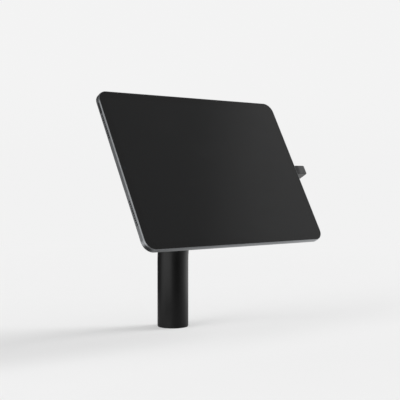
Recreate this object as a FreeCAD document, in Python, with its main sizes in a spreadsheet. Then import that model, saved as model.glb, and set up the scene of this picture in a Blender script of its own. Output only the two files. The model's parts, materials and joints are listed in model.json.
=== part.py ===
"""Tablet kiosk stand: a bent column, a turning head, a bonded tablet and a locking connector arm.

The origin is the centre of the column's foot on the counter. Z points up, the screen faces -Y and the
tablet's width lies along X. Lengths are millimetres and angles are degrees.

The head has its own frame, which starts at the centre of the tube's upper end: X is the tablet's width,
Y runs up the screen and Z points out of the screen. Every level below is a distance along that Z.
"""
import FreeCAD, Part
import math
import os
import re

import Sketcher
from FreeCAD import Rotation, Vector

SIZES = {
    # Column
    "column_diameter": 35,
    "column_wall": 2,
    "straight_height": 74,
    "bend_radius": 107,
    "lean": 28.5,
    # Foot
    "gasket_thickness": 1,
    "gasket_inset": 0.4,
    "anchor_length": 30,
    "anchor_gap": 0.05,
    "cable_bore_diameter": 14,
    "foot_bolt_circle": 22,
    "foot_bolt_thread": 5,
    "foot_bolt_depth": 18,
    "foot_bolt_clearance": 0.75,
    "anchor_screw_diameter": 5,
    "anchor_screw_gap": 0.1,
    "anchor_screw_length": 7,
    "anchor_screw_sink": 0.4,
    "anchor_screw_low": 9,
    "anchor_screw_high": 23,
    # Head plug and its bearing
    "plug_flange_thickness": 3,
    "plug_spigot_length": 4,
    "plug_gap": 0.12,
    "barrel_diameter": 24,
    "barrel_length": 20,
    "bush_wall": 1.5,
    "bush_length": 7.5,
    "spindle_diameter": 16,
    "spindle_gap": 0.03,
    "spindle_bore": 11,
    "spindle_thread_diameter": 14,
    "rotor_diameter": 44,
    "rotor_thickness": 4,
    "rotation_range": 90,
    "stop_pin_diameter": 2.5,
    "stop_pin_length": 8,
    "stop_track_radius": 14,
    "stop_track_depth": 3,
    "stop_gap": 0.15,
    "friction_washer_thickness": 1,
    "friction_washer_diameter": 24.4,
    "spring_thickness": 0.8,
    "spring_rise": 0.4,
    "spring_diameter": 20,
    "spring_gap": 0.05,
    "nut_diameter": 21,
    "nut_height": 5,
    "nut_slot_width": 3,
    "nut_slot_depth": 1.5,
    "thread_end": 1.5,
    # Mount plate, pad and their screws
    "plate_width": 104,
    "plate_height": 64,
    "plate_corner": 12,
    "plate_thickness": 5,
    "plate_screw_circle": 36.4,
    "plate_screw_angle": 60,
    "plate_screw_diameter": 4,
    "plate_screw_head": 7.5,
    "plate_screw_head_height": 2.3,
    "plate_screw_length": 8.4,
    "pad_thickness": 1,
    "pad_inset": 2,
    "pad_channel_gap": 1,
    # Locking arm
    "arm_width": 20,
    "arm_thickness": 3,
    "arm_back_reach": 26,
    "arm_taper": 12,
    "arm_neck_bare": 3.8,
    "tongue_width": 8,
    "arm_recess": 0.2,
    "slide_gap": 0.1,
    "arm_travel": 10,
    "cable_groove_width": 6,
    "cable_groove_depth": 0.8,
    "arm_screw_x": 32,
    "arm_screw_y": 6.5,
    "arm_screw_diameter": 3,
    "arm_screw_slot_gap": 0.2,
    "arm_screw_head": 5.6,
    "arm_screw_head_height": 1.6,
    "arm_screw_length": 4.4,
    # Head cover
    "cover_gap": 0.3,
    "cover_wall": 1.8,
    "cover_depth": 6.2,
    "cover_edge_radius": 4,
    "collar_gap": 0.7,
    "collar_wall": 2.2,
    "collar_height": 4,
    "collar_flare": 7,
    "cover_screw_x": 42,
    "cover_screw_y": 22,
    "cover_screw_diameter": 3,
    "cover_screw_head": 5.5,
    "cover_screw_head_height": 1.8,
    "cover_screw_grip": 1.6,
    "cover_screw_bite": 3.2,
    "cover_boss_diameter": 8.6,
    "cover_rib": 1.2,
    "access_hole": 5,
    # Connector pod
    "pod_height": 11.2,
    "pod_reach": 16.1,
    "pod_edge_gap": 0.3,
    "pod_proud": 0.3,
    "pod_depth": 13.8,
    "pod_foot_reach": 12,
    "pod_foot_gap": 0.6,
    "pod_slant": 4.6,
    "pod_slant_drop": 2,
    "pod_round": 2,
    "pod_soft_edge": 1.4,
    "pod_wall": 1,
    "pod_front_wall": 2,
    "pod_split": 3,
    "pod_screw_diameter": 2.5,
    "pod_screw_head": 4.6,
    "pod_screw_head_height": 1.4,
    "pod_screw_inner": 6,
    "pod_screw_outer": 9,
    "board_thickness": 1,
    "board_width": 7.4,
    "board_setback": 4.6,
    "plug_width": 8.3,
    "plug_thickness": 2.5,
    "plug_reach": 6.5,
    # Tablet
    "tablet_width": 247.6,
    "tablet_height": 178.5,
    "tablet_thickness": 6.1,
    "tablet_corner": 11.5,
    "tablet_lip": 0.6,
    "tablet_wall": 1.6,
    "tablet_floor": 0.8,
    "tablet_back_radius": 0.5,
    "tablet_bevel_width": 0.35,
    "tablet_bevel_depth": 1.4,
    "glass_thickness": 0.8,
    "glass_gap": 0.1,
    "glass_inset": 0.1,
    "display_thickness": 1.9,
    "display_border": 8,
    "battery_side_gap": 4.5,
    "battery_end_room": 19.25,
    "battery_gap": 3,
    "battery_thickness": 2.1,
    "battery_corner": 3,
    "board_from_side": 30.8,
    "main_board_width": 18,
    "main_board_end_room": 31.25,
    "main_board_thickness": 0.8,
    "shield_height": 1.1,
    "shield_width": 14,
    "shield_length": 40,
    "shield_spread": 52,
    "shield_corner": 1,
    "speaker_from_side": 11.3,
    "speaker_box_width": 17,
    "speaker_box_height": 28,
    "speaker_box_thickness": 2.4,
    "speaker_box_corner": 1.5,
    "speaker_from_end": 40.85,
    "speaker_hole": 1.8,
    "speaker_pitch": 2.5,
    "speaker_holes": 11,
    "port_opening_width": 9,
    "port_opening_height": 3.2,
    "port_width": 10.6,
    "port_depth": 6.2,
    "port_height": 4.1,
    "port_fit": 0.15,
    "camera_from_side": 16.8,
    "camera_from_top": 16.25,
    "camera_ring_diameter": 16.4,
    "camera_hole_diameter": 14.4,
    "camera_proud": 1.2,
    "camera_lens_diameter": 11.4,
    "camera_lens_thickness": 0.8,
    "camera_module_height": 3,
    "camera_module_corner": 1.5,
    "flash_spacing": 17,
    "flash_diameter": 4.8,
    "front_camera_from_side": 4.8,
    "front_camera_diameter": 4.4,
    # Buttons
    "button_width": 2.2,
    "button_proud": 0.4,
    "button_fit": 0.15,
    "button_travel": 0.3,
    "button_flange": 0.7,
    "button_flange_thickness": 0.6,
    "power_length": 12.4,
    "power_from_top": 19.25,
    "volume_length": 11,
    "volume_from_side": 26.8,
    "volume_spacing": 13.5,
    "switch_gap": 0.05,
    "switch_thickness": 1.1,
    "switch_width": 6,
}

# Levels along the head's Z, from the tube's upper end towards the screen
BARREL_BACK = "(-barrel_length)"
SPRING_BACK = f"({BARREL_BACK} - spring_gap - 2 * (spring_thickness + spring_rise))"
NUT_BACK = f"({SPRING_BACK} - nut_height)"
SPINDLE_BACK = f"({NUT_BACK} - thread_end)"
PLUG_FRONT = "plug_flange_thickness"
WASHER_FRONT = f"({PLUG_FRONT} + friction_washer_thickness)"
ROTOR_FRONT = f"({WASHER_FRONT} + rotor_thickness)"
PLATE_FRONT = f"({ROTOR_FRONT} + plate_thickness)"
TABLET_BACK = f"({PLATE_FRONT} + pad_thickness)"
TABLET_FRONT = f"({TABLET_BACK} + tablet_thickness)"
TABLET_MIDDLE = f"({TABLET_BACK} + tablet_thickness / 2)"
TRAY_FLOOR = f"({TABLET_BACK} + tablet_floor)"
GLASS_SEAT = f"({TABLET_FRONT} - glass_thickness - glass_inset)"
ARM_FRONT = f"({PLATE_FRONT} - arm_recess)"
ARM_BACK = f"({ARM_FRONT} - arm_thickness)"
CHANNEL_FLOOR = f"({ARM_BACK} - slide_gap)"
COVER_BACK = f"({ROTOR_FRONT} - cover_depth)"
COVER_FLOOR = f"({COVER_BACK} + cover_wall)"
POD_FRONT = f"({TABLET_FRONT} + pod_proud)"
POD_BACK = f"({POD_FRONT} - pod_depth)"
POD_SPLIT = f"({POD_BACK} + pod_split)"
POD_FOOT_FRONT = f"({TABLET_BACK} - pod_foot_gap)"

# Places across the head
TUBE_RADIUS = "(column_diameter / 2)"
TUBE_BORE = "(column_diameter / 2 - column_wall)"
TABLET_EDGE = "(tablet_width / 2)"
TRAY_WALL = f"({TABLET_EDGE} - tablet_wall)"
POD_INNER = f"({TABLET_EDGE} + pod_edge_gap)"
POD_OUTER = f"({TABLET_EDGE} + pod_reach)"
POD_FOOT_END = f"({TABLET_EDGE} - pod_foot_reach)"
TONGUE_END = f"({POD_OUTER} - pod_round - pod_wall)"
BOARD_FACE = f"({POD_INNER} + board_setback)"
BUSH_RADIUS = "(spindle_diameter / 2 + spindle_gap + bush_wall)"
COLLAR_RADIUS = f"({TUBE_RADIUS} + collar_gap + collar_wall)"
COVER_MARGIN = "2 * (cover_gap + cover_wall)"
ARM_SHOULDER = f"({POD_FOOT_END} - arm_neck_bare - arm_taper)"

# Places inside the tablet
TABLET_TOP = "(tablet_height / 2)"
CAMERA_X = f"({TABLET_EDGE} - camera_from_side)"
CAMERA_Y = f"({TABLET_TOP} - camera_from_top)"
FLASH_X = f"({CAMERA_X} - flash_spacing)"
FRONT_CAMERA_X = f"({TABLET_EDGE} - front_camera_from_side)"
BOARD_X = f"({TABLET_EDGE} - board_from_side)"
BATTERY_SIDE = f"({BOARD_X} - main_board_width / 2 - battery_side_gap)"
SPEAKER_X = f"({TABLET_EDGE} - speaker_from_side)"
SPEAKER_Y = f"({TABLET_TOP} - speaker_from_end)"
POWER_Y = f"({TABLET_TOP} - power_from_top)"
VOLUME_UP_X = f"({TABLET_EDGE} - volume_from_side)"
VOLUME_DOWN_X = f"({VOLUME_UP_X} - volume_spacing)"

# The tube's upper end in the stand's own frame
HEAD_Y = "-bend_radius * (1 - sin(lean))"
HEAD_Z = "straight_height + bend_radius * cos(lean)"

# Direction of each origin plane's normal along its own axis
NORMAL = {"XY_Plane": 1, "XZ_Plane": -1, "YZ_Plane": 1}
WORD = re.compile(r"[a-z][a-z_]+")

doc = FreeCAD.newDocument("TabletKioskStand")
sheet = doc.addObject("Spreadsheet::Sheet", "Sizes")
pieces = []


def fill_sheet():
    """Write each driving size beside its name, with the name as the cell's alias."""
    for row, (name, value) in enumerate(SIZES.items(), start=1):
        sheet.set(f"A{row}", name)
        sheet.set(f"B{row}", str(value))
        sheet.setAlias(f"B{row}", name)
    doc.recompute()


def formula(text):
    """Point each size's name in the text at its cell."""
    return WORD.sub(lambda word: f"Sizes.{word[0]}" if word[0] in SIZES else word[0], text)


def size(text):
    """Work out a formula's present value."""
    return float(sheet.evalExpression(formula(text)))


class Outline:
    """A fully constrained sketch whose sizes follow the sheet."""

    def __init__(self, sketch):
        self.sketch = sketch

    def bind(self, kind, *where, to):
        """Add a dimension that follows a formula."""
        index = self.sketch.addConstraint(Sketcher.Constraint(kind, *where, size(to)))
        self.sketch.setExpression(f"Constraints[{index}]", formula(to))

    def tie(self, kind, *where):
        """Add a geometric relation."""
        self.sketch.addConstraint(Sketcher.Constraint(kind, *where))

    def pin_point(self, geometry, point, x, y):
        """Fix one point of a geometry at two formulas."""
        self.bind("DistanceX", -1, 1, geometry, point, to=x)
        self.bind("DistanceY", -1, 1, geometry, point, to=y)

    def circle(self, radius, x="0", y="0"):
        """Draw a circle."""
        shape = Part.Circle(Vector(size(x), size(y)), Vector(0, 0, 1), size(radius))
        index = self.sketch.addGeometry(shape)
        self.pin_point(index, 3, x, y)
        self.bind("Radius", index, to=radius)
        return self

    def polygon(self, corners, rounds=None):
        """Draw a closed outline through the corners; rounds maps a corner's index to its radius."""
        rounds = rounds or {}
        count = len(corners)
        spots = [Vector(size(x), size(y)) for x, y in corners]
        starts, ends, centres = [], [], {}
        for i, spot in enumerate(spots):
            before = (spots[i - 1] - spot).normalize()
            after = (spots[(i + 1) % count] - spot).normalize()
            if i not in rounds:
                ends.append(spot)
                starts.append(spot)
                continue
            radius = size(rounds[i])
            half = before.getAngle(after) / 2
            ends.append(spot + before * (radius / math.tan(half)))
            starts.append(spot + after * (radius / math.tan(half)))
            centres[i] = spot + (before + after).normalize() * (radius / math.sin(half))
        lines = [
            self.sketch.addGeometry(Part.LineSegment(starts[i], ends[(i + 1) % count])) for i in range(count)
        ]
        for i, spot in enumerate(spots):
            line_in, line_out = lines[i - 1], lines[i]
            if i not in rounds:
                self.tie("Coincident", line_in, 2, line_out, 1)
                self.pin_point(line_out, 1, *corners[i])
                continue
            middle = centres[i] + (spot - centres[i]).normalize() * size(rounds[i])
            arc = self.sketch.addGeometry(Part.Arc(ends[i], middle, starts[i]))
            self.join_arc(arc, line_in, line_out, ends[i])
            self.bind("Radius", arc, to=rounds[i])
            mark = self.sketch.addGeometry(Part.Point(spot), True)
            self.pin_point(mark, 1, *corners[i])
            self.tie("PointOnObject", mark, 1, line_in)
            self.tie("PointOnObject", mark, 1, line_out)
        return self

    def join_arc(self, arc, line_in, line_out, first):
        """Make an arc run on from one line's end and into the next line's start."""
        begins = self.sketch.getPoint(arc, 1).distanceToPoint(first) < 1e-6
        near, far = (1, 2) if begins else (2, 1)
        self.tie("Tangent", line_in, 2, arc, near)
        self.tie("Tangent", line_out, 1, arc, far)

    def rectangle(self, left, right, low, high, radius=None):
        """Draw a rectangle, with equal rounds where a radius is given."""
        corners = [(left, low), (right, low), (right, high), (left, high)]
        rounds = {i: radius for i in range(4)} if radius else None
        return self.polygon(corners, rounds)

    def centred(self, width, height, radius=None):
        """Draw a rectangle about the sketch's origin."""
        across, along = f"({width}) / 2", f"({height}) / 2"
        return self.rectangle(f"-{across}", across, f"-{along}", along, radius)

    def slot(self, x, y, length, width, upright=False):
        """Draw a slot with round ends."""
        radius = size(width) / 2
        reach = f"(({length}) - ({width})) / 2"
        shift = Vector(0, size(reach)) if upright else Vector(size(reach), 0)
        middle = Vector(size(x), size(y))
        side = Vector(-shift.y, shift.x).normalize() * radius
        far, near = middle + shift, middle - shift
        ahead = shift.normalize() * radius
        line_a = self.sketch.addGeometry(Part.LineSegment(near - side, far - side))
        arc_far = self.sketch.addGeometry(Part.Arc(far - side, far + ahead, far + side))
        line_b = self.sketch.addGeometry(Part.LineSegment(far + side, near + side))
        arc_near = self.sketch.addGeometry(Part.Arc(near + side, near - ahead, near - side))
        self.join_arc(arc_far, line_a, line_b, far - side)
        self.join_arc(arc_near, line_b, line_a, near + side)
        self.tie("Equal", arc_far, arc_near)
        self.bind("Radius", arc_far, to=f"({width}) / 2")
        for arc, sign in ((arc_far, "+"), (arc_near, "-")):
            along = f"{y} {sign} {reach}" if upright else f"{x} {sign} {reach}"
            self.pin_point(arc, 3, x if upright else along, along if upright else y)
        return self


class Piece:
    """One separate piece of the stand: a body with features on its own origin planes."""

    def __init__(self, name, on_head=True, separate_copies=False):
        self.body = doc.addObject("PartDesign::Body", name)
        self.body.Label = name
        self.body.AllowCompound = separate_copies
        if on_head:
            put_on_head(self.body)
        pieces.append(self.body)

    def origin(self, role):
        """Find an origin plane or axis of this body."""
        return next(item for item in self.body.Origin.OriginFeatures if item.Role == role)

    def sketch(self, role="XY_Plane", level="0", shift="0"):
        """Start an outline on an origin plane, at a level along its axis and shifted sideways."""
        sketch = self.body.newObject("Sketcher::SketchObject", f"{self.body.Label}_outline")
        sketch.AttachmentSupport = [(self.origin(role), "")]
        sketch.MapMode = "FlatFace"
        sketch.setExpression("AttachmentOffset.Base.z", formula(f"{NORMAL[role]} * ({level})"))
        sketch.setExpression("AttachmentOffset.Base.x", formula(shift))
        sketch.recompute()
        sketch.Label2 = role
        return Outline(sketch)

    def feature(self, kind, outline, name):
        """Add a feature that uses an outline."""
        added = self.body.newObject(f"PartDesign::{kind}", f"{self.body.Label}_{name}")
        added.Profile = outline.sketch
        return added

    def volume(self):
        """Recompute and measure the piece."""
        doc.recompute()
        return self.body.Shape.Volume

    def pad(self, outline, length, toward=1, both=False):
        """Raise an outline along its plane's axis, or half to each side."""
        added = self.feature("Pad", outline, "pad")
        added.setExpression("Length", formula(length))
        added.Midplane = both
        added.Reversed = toward * NORMAL[outline.sketch.Label2] < 0
        doc.recompute()
        return self

    def cut(self, outline, depth=None, toward=1):
        """Sink an outline along its plane's axis, or right through both ways with no depth."""
        before = self.volume()
        added = self.feature("Pocket", outline, "cut")
        if depth:
            added.setExpression("Length", formula(depth))
            added.Reversed = toward * NORMAL[outline.sketch.Label2] > 0
        else:
            added.Type = "ThroughAll"
            added.Midplane = True
        self.must_shrink(before)
        return self

    def turn(self, outline):
        """Turn a section about its sketch's upright axis."""
        added = self.feature("Revolution", outline, "turn")
        added.ReferenceAxis = (outline.sketch, ["V_Axis"])
        added.Angle = 360
        doc.recompute()
        return self

    def groove(self, outline, angle="360"):
        """Cut a turned groove, centred on the sketch's plane."""
        before = self.volume()
        added = self.feature("Groove", outline, "groove")
        added.ReferenceAxis = (outline.sketch, ["V_Axis"])
        added.Midplane = True
        added.setExpression("Angle", formula(angle))
        self.must_shrink(before)
        return self

    def must_shrink(self, before):
        """Stop if a cut took nothing away."""
        if self.volume() > before - 1e-6:
            raise RuntimeError(f"a cut missed {self.body.Label}")

    def polar(self, count, names):
        """Repeat the latest features about the body's Z axis."""
        originals = self.latest(names)
        added = self.body.newObject("PartDesign::PolarPattern", f"{self.body.Label}_ring")
        added.Originals = originals
        added.Axis = (self.origin("Z_Axis"), [""])
        added.Angle = 360
        added.Occurrences = count
        self.body.Tip = added
        doc.recompute()
        return self

    def latest(self, names):
        """List the last features of this body, newest last."""
        shaped = [item for item in self.body.Group if item.isDerivedFrom("PartDesign::Feature")]
        return shaped[-names:]

    def edges(self, wanted):
        """Name the edges of the piece, in its own frame, that pass a test."""
        shape = self.body.Tip.Shape
        return [f"Edge{i}" for i, edge in enumerate(shape.Edges, start=1) if wanted(edge)]

    def soften(self, radius, wanted, kind="Fillet", second=None):
        """Round or chamfer the edges that pass a test; second is an uneven chamfer's other leg."""
        doc.recompute()
        base, chosen = self.body.Tip, self.edges(wanted)
        if not chosen:
            raise RuntimeError(f"no edge to soften on {self.body.Label}")
        added = self.body.newObject(f"PartDesign::{kind}", f"{self.body.Label}_{kind.lower()}")
        added.Base = (base, chosen)
        added.setExpression("Radius" if kind == "Fillet" else "Size", formula(radius))
        if second:
            added.ChamferType = "Two distances"
            added.setExpression("Size2", formula(second))
        doc.recompute()
        return self


def put_on_head(body):
    """Place a body in the head's frame at the tube's upper end."""
    body.Placement.Rotation = Rotation(Vector(1, 0, 0), 45)
    body.setExpression("Placement.Rotation.Angle", formula("90 - lean"))
    body.setExpression("Placement.Base.y", formula(HEAD_Y))
    body.setExpression("Placement.Base.z", formula(HEAD_Z))


def at_level(level):
    """Make a test for edges that lie wholly at one level of Z."""
    height = size(level)
    return lambda edge: max(abs(edge.BoundBox.ZMin - height), abs(edge.BoundBox.ZMax - height)) < 1e-4


def column_tube():
    """Bent steel tube: straight from the foot, then one forward bend to the head's lean."""
    tube = Piece("column_tube", on_head=False)
    route = tube.sketch("YZ_Plane")
    start, knee = size("gasket_thickness"), size("straight_height")
    radius, bend = size("bend_radius"), math.radians(90 - size("lean"))
    line = route.sketch.addGeometry(Part.LineSegment(Vector(0, start), Vector(0, knee)))
    circle = Part.Circle(Vector(-radius, knee), Vector(0, 0, 1), radius)
    arc = route.sketch.addGeometry(Part.ArcOfCircle(circle, 0, bend))
    route.tie("Vertical", line)
    route.tie("PointOnObject", line, 1, -2)
    route.tie("Tangent", line, 2, arc, 1)
    route.bind("DistanceY", -1, 1, line, 1, to="gasket_thickness")
    route.bind("DistanceY", -1, 1, line, 2, to="straight_height")
    route.bind("Radius", arc, to="bend_radius")
    route.bind("DistanceY", -1, 1, arc, 2, to=HEAD_Z)
    section = tube.sketch("XY_Plane", "gasket_thickness").circle(TUBE_RADIUS).circle(TUBE_BORE)
    sweep = tube.feature("AdditivePipe", section, "sweep")
    sweep.Spine = route.sketch
    doc.recompute()
    holes = tube.sketch("XZ_Plane")
    for level in ("anchor_screw_low", "anchor_screw_high"):
        holes.circle("anchor_screw_diameter / 2 + anchor_screw_gap", "0", level)
    tube.cut(holes, "column_diameter", toward=1)


def foot_gasket():
    """Thin ring that seals the foot, with holes for the cable and the three bolts."""
    gasket = Piece("foot_gasket", on_head=False)
    ring = gasket.sketch().circle(f"{TUBE_RADIUS} - gasket_inset").circle("cable_bore_diameter / 2")
    gasket.pad(ring, "gasket_thickness")
    hole = "foot_bolt_thread / 2 + foot_bolt_clearance"
    bolt = gasket.sketch("XY_Plane", "gasket_thickness").circle(hole, "0", "-foot_bolt_circle / 2")
    gasket.cut(bolt, "gasket_thickness", toward=-1).polar(3, 1)


def foot_anchor():
    """Steel plug in the tube's foot, bolted from below the counter and bored for the cable."""
    anchor = Piece("foot_anchor", on_head=False)
    disc = anchor.sketch("XY_Plane", "gasket_thickness").circle(f"{TUBE_BORE} - anchor_gap")
    anchor.pad(disc, "anchor_length")
    anchor.cut(anchor.sketch().circle("cable_bore_diameter / 2"))
    low = at_level("gasket_thickness + anchor_length")
    anchor.soften("column_wall / 2", lambda edge: low(edge) and edge.Length > 3 * size(TUBE_BORE), "Chamfer")
    thread = anchor.sketch("XY_Plane", "gasket_thickness")
    thread.circle("foot_bolt_thread / 2", "0", "-foot_bolt_circle / 2")
    anchor.cut(thread, "foot_bolt_depth", toward=1).polar(3, 1)
    sides = anchor.sketch("XZ_Plane", f"{TUBE_RADIUS} - anchor_screw_sink - anchor_screw_length")
    for level in ("anchor_screw_low", "anchor_screw_high"):
        sides.circle("anchor_screw_diameter / 2", "0", level)
    anchor.cut(sides, "column_diameter", toward=1)


def anchor_screws():
    """Two set screws that hold the tube to the anchor from the rear."""
    screws = Piece("anchor_screws", on_head=False, separate_copies=True)
    start = f"{TUBE_RADIUS} - anchor_screw_sink - anchor_screw_length"
    shanks = screws.sketch("XZ_Plane", start)
    sockets = screws.sketch("XZ_Plane", f"{TUBE_RADIUS} - anchor_screw_sink")
    for level in ("anchor_screw_low", "anchor_screw_high"):
        shanks.circle("anchor_screw_diameter / 2", "0", level)
        hexagon(sockets, "anchor_screw_diameter / 2", "0", level)
    screws.pad(shanks, "anchor_screw_length", toward=1)
    screws.cut(sockets, "anchor_screw_diameter / 2", toward=-1)


def hexagon(outline, across, x, y):
    """Draw a hexagon socket, given its width across the flats."""
    reach = f"({across}) / (2 * cos(30))"
    corners = [
        (f"{x} + {reach} * cos({angle})", f"{y} + {reach} * sin({angle})") for angle in range(0, 360, 60)
    ]
    return outline.polygon(corners)


def head_plug():
    """End fitting welded into the tube: a flange, a short spigot and the bearing barrel."""
    plug = Piece("head_plug")
    bore, barrel = BUSH_RADIUS, "barrel_diameter / 2"
    spigot = f"{TUBE_BORE} - plug_gap"
    section = plug.sketch("XZ_Plane").polygon([
        (bore, BARREL_BACK), (barrel, BARREL_BACK), (barrel, "-plug_spigot_length"),
        (spigot, "-plug_spigot_length"), (spigot, "0"), (TUBE_RADIUS, "0"), (TUBE_RADIUS, PLUG_FRONT),
        (bore, PLUG_FRONT),
    ])
    plug.turn(section)
    pin = plug.sketch("XY_Plane", PLUG_FRONT).circle("stop_pin_diameter / 2", *stop_pin_spot())
    plug.cut(pin, "stop_pin_length / 2", toward=-1)


def stop_pin_spot():
    """Place the stop pin where the arc slot ends with the tablet in landscape."""
    return (
        "stop_track_radius * cos(rotation_range / 2)",
        "-stop_track_radius * sin(rotation_range / 2)",
    )


def stop_pin():
    """Dowel pressed half its length into the plug's flange, with its free end in the arc slot."""
    pin = Piece("stop_pin")
    rod = pin.sketch("XY_Plane", f"{PLUG_FRONT} - stop_pin_length / 2")
    rod.circle("stop_pin_diameter / 2", *stop_pin_spot())
    pin.pad(rod, "stop_pin_length / 2 + friction_washer_thickness + stop_track_depth - stop_gap")


def spindle_bushes():
    """Plain bushes at both ends of the barrel."""
    bushes = Piece("spindle_bushes", separate_copies=True)
    bore = "spindle_diameter / 2 + spindle_gap"
    section = bushes.sketch("XZ_Plane")
    section.rectangle(bore, BUSH_RADIUS, f"{PLUG_FRONT} - bush_length", PLUG_FRONT)
    section.rectangle(bore, BUSH_RADIUS, BARREL_BACK, f"{BARREL_BACK} + bush_length")
    bushes.turn(section)


def spindle():
    """Hollow shaft that carries the head: rotor flange, journal, threaded end and arc slot."""
    shaft = Piece("spindle")
    bore, journal, thread = "spindle_bore / 2", "spindle_diameter / 2", "spindle_thread_diameter / 2"
    section = shaft.sketch("XZ_Plane").polygon([
        (bore, SPINDLE_BACK), (thread, SPINDLE_BACK), (thread, BARREL_BACK), (journal, BARREL_BACK),
        (journal, WASHER_FRONT), ("rotor_diameter / 2", WASHER_FRONT), ("rotor_diameter / 2", ROTOR_FRONT),
        (bore, ROTOR_FRONT),
    ])
    shaft.turn(section)
    half = "(stop_pin_diameter / 2 + stop_gap)"
    track = shaft.sketch("XZ_Plane").rectangle(
        f"stop_track_radius - {half}", f"stop_track_radius + {half}",
        WASHER_FRONT, f"{WASHER_FRONT} + stop_track_depth",
    )
    shaft.groove(track, f"rotation_range + 2 * {half} / stop_track_radius * 180 / pi")
    holes = shaft.sketch("XY_Plane", ROTOR_FRONT)
    for x, y in plate_screw_spots():
        holes.circle("plate_screw_diameter / 2", x, y)
    shaft.cut(holes, "rotor_thickness", toward=-1)


def plate_screw_spots():
    """Place the four plate screws clear of the arm's channel."""
    x = "plate_screw_circle / 2 * cos(plate_screw_angle)"
    y = "plate_screw_circle / 2 * sin(plate_screw_angle)"
    return [(f"{a} * {x}", f"{b} * {y}") for a, b in ((1, 1), (-1, 1), (-1, -1), (1, -1))]


def friction_washer():
    """Flat washer that the rotor flange drags on."""
    washer = Piece("friction_washer")
    ring = washer.sketch("XY_Plane", PLUG_FRONT)
    ring.circle("friction_washer_diameter / 2").circle("spindle_diameter / 2 + spindle_gap")
    washer.pad(ring, "friction_washer_thickness")


def spring_washers():
    """Two cone washers, rim to rim, that load the friction washer."""
    springs = Piece("spring_washers", separate_copies=True)
    inner, outer = "spindle_thread_diameter / 2 + spindle_gap", "spring_diameter / 2"
    top = f"{BARREL_BACK} - spring_gap"
    middle = f"{top} - spring_thickness - spring_rise"
    section = springs.sketch("XZ_Plane")
    section.polygon([
        (inner, top), (outer, f"{top} - spring_rise"), (outer, middle), (inner, f"{top} - spring_thickness"),
    ])
    section.polygon([
        (inner, f"{SPRING_BACK} + spring_thickness"), (outer, f"{middle} - spring_gap / 2"),
        (outer, f"{SPRING_BACK} + spring_rise"), (inner, SPRING_BACK),
    ])
    springs.turn(section)


def spindle_nut():
    """Slotted ring nut on the spindle's threaded end."""
    nut = Piece("spindle_nut")
    ring = nut.sketch("XY_Plane", NUT_BACK)
    ring.circle("nut_diameter / 2").circle("spindle_thread_diameter / 2")
    nut.pad(ring, "nut_height")
    slot = nut.sketch("XY_Plane", NUT_BACK).rectangle(
        "nut_diameter / 2 - nut_slot_depth", "nut_diameter / 2 + nut_slot_depth",
        "-nut_slot_width / 2", "nut_slot_width / 2",
    )
    nut.cut(slot, "nut_height", toward=1).polar(4, 1)


def mount_plate():
    """Plate behind the tablet: arm channel, spindle bore, countersinks, lock slots and cover threads."""
    plate = Piece("mount_plate")
    blank = plate.sketch("XY_Plane", ROTOR_FRONT).centred("plate_width", "plate_height", "plate_corner")
    plate.pad(blank, "plate_thickness")
    half = "(arm_width / 2 + slide_gap)"
    channel = plate.sketch("XY_Plane", PLATE_FRONT).rectangle(
        "-arm_back_reach - slide_gap", "plate_width / 2 + plate_corner", f"-{half}", half)
    plate.cut(channel, f"{PLATE_FRONT} - {CHANNEL_FLOOR}", toward=-1)
    plate.cut(plate.sketch().circle("spindle_bore / 2"))
    for x, y in plate_screw_spots():
        hole = plate.sketch("XZ_Plane", y, x)
        hole.polygon(screw_section("plate_screw", PLATE_FRONT, "plate_thickness * 2"))
        plate.groove(hole)
    slots = plate.sketch("XY_Plane", CHANNEL_FLOOR)
    width = "(arm_screw_diameter + 2 * arm_screw_slot_gap)"
    for side in ("", "-"):
        slots.slot("arm_screw_x + arm_travel / 2", f"{side}arm_screw_y", f"{width} + arm_travel", width)
    plate.cut(slots, "plate_thickness", toward=-1)
    threads = plate.sketch("XY_Plane", ROTOR_FRONT)
    for x, y in cover_screw_spots():
        threads.circle("cover_screw_diameter / 2", x, y)
    plate.cut(threads, "cover_screw_bite + slide_gap", toward=1)


def screw_section(kind, face, length, sink=1):
    """Outline half of a countersunk screw from its face; sink is the direction of the tip."""
    head, shank = f"{kind}_head / 2", f"{kind}_diameter / 2"
    deep = "-" if sink > 0 else "+"
    return [
        ("0", face), (head, face), (shank, f"{face} {deep} {kind}_head_height"),
        (shank, f"{face} {deep} ({length})"), ("0", f"{face} {deep} ({length})"),
    ]


def plate_screws():
    """Four countersunk screws from the plate into the rotor flange."""
    screws = Piece("plate_screws", separate_copies=True)
    for x, y in plate_screw_spots():
        section = screws.sketch("XZ_Plane", y, x)
        screws.turn(section.polygon(screw_section("plate_screw", PLATE_FRONT, "plate_screw_length")))
    sockets = screws.sketch("XY_Plane", PLATE_FRONT)
    for x, y in plate_screw_spots():
        hexagon(sockets, "plate_screw_diameter * 5 / 8", x, y)
    screws.cut(sockets, "plate_screw_head_height / 2", toward=-1)


def tablet_pad():
    """Bonding pad with a notch over the arm's channel."""
    pad = Piece("tablet_pad")
    side, top = "(plate_width / 2 - pad_inset)", "(plate_height / 2 - pad_inset)"
    notch, corner = "(arm_width / 2 + pad_channel_gap)", "plate_corner - pad_inset"
    outline = pad.sketch("XY_Plane", PLATE_FRONT).polygon([
        (f"-{side}", f"-{top}"), (side, f"-{top}"), (side, f"-{notch}"),
        ("-arm_back_reach - pad_channel_gap", f"-{notch}"), ("-arm_back_reach - pad_channel_gap", notch),
        (side, notch), (side, top), (f"-{side}", top),
    ], {0: corner, 1: corner, 6: corner, 7: corner})
    pad.pad(outline, "pad_thickness")


def cover_screw_spots():
    """Place the four cover screws near the plate's corners."""
    corners = ((1, 1), (-1, 1), (-1, -1), (1, -1))
    return [(f"{a} * cover_screw_x", f"{b} * cover_screw_y") for a, b in corners]


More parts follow.
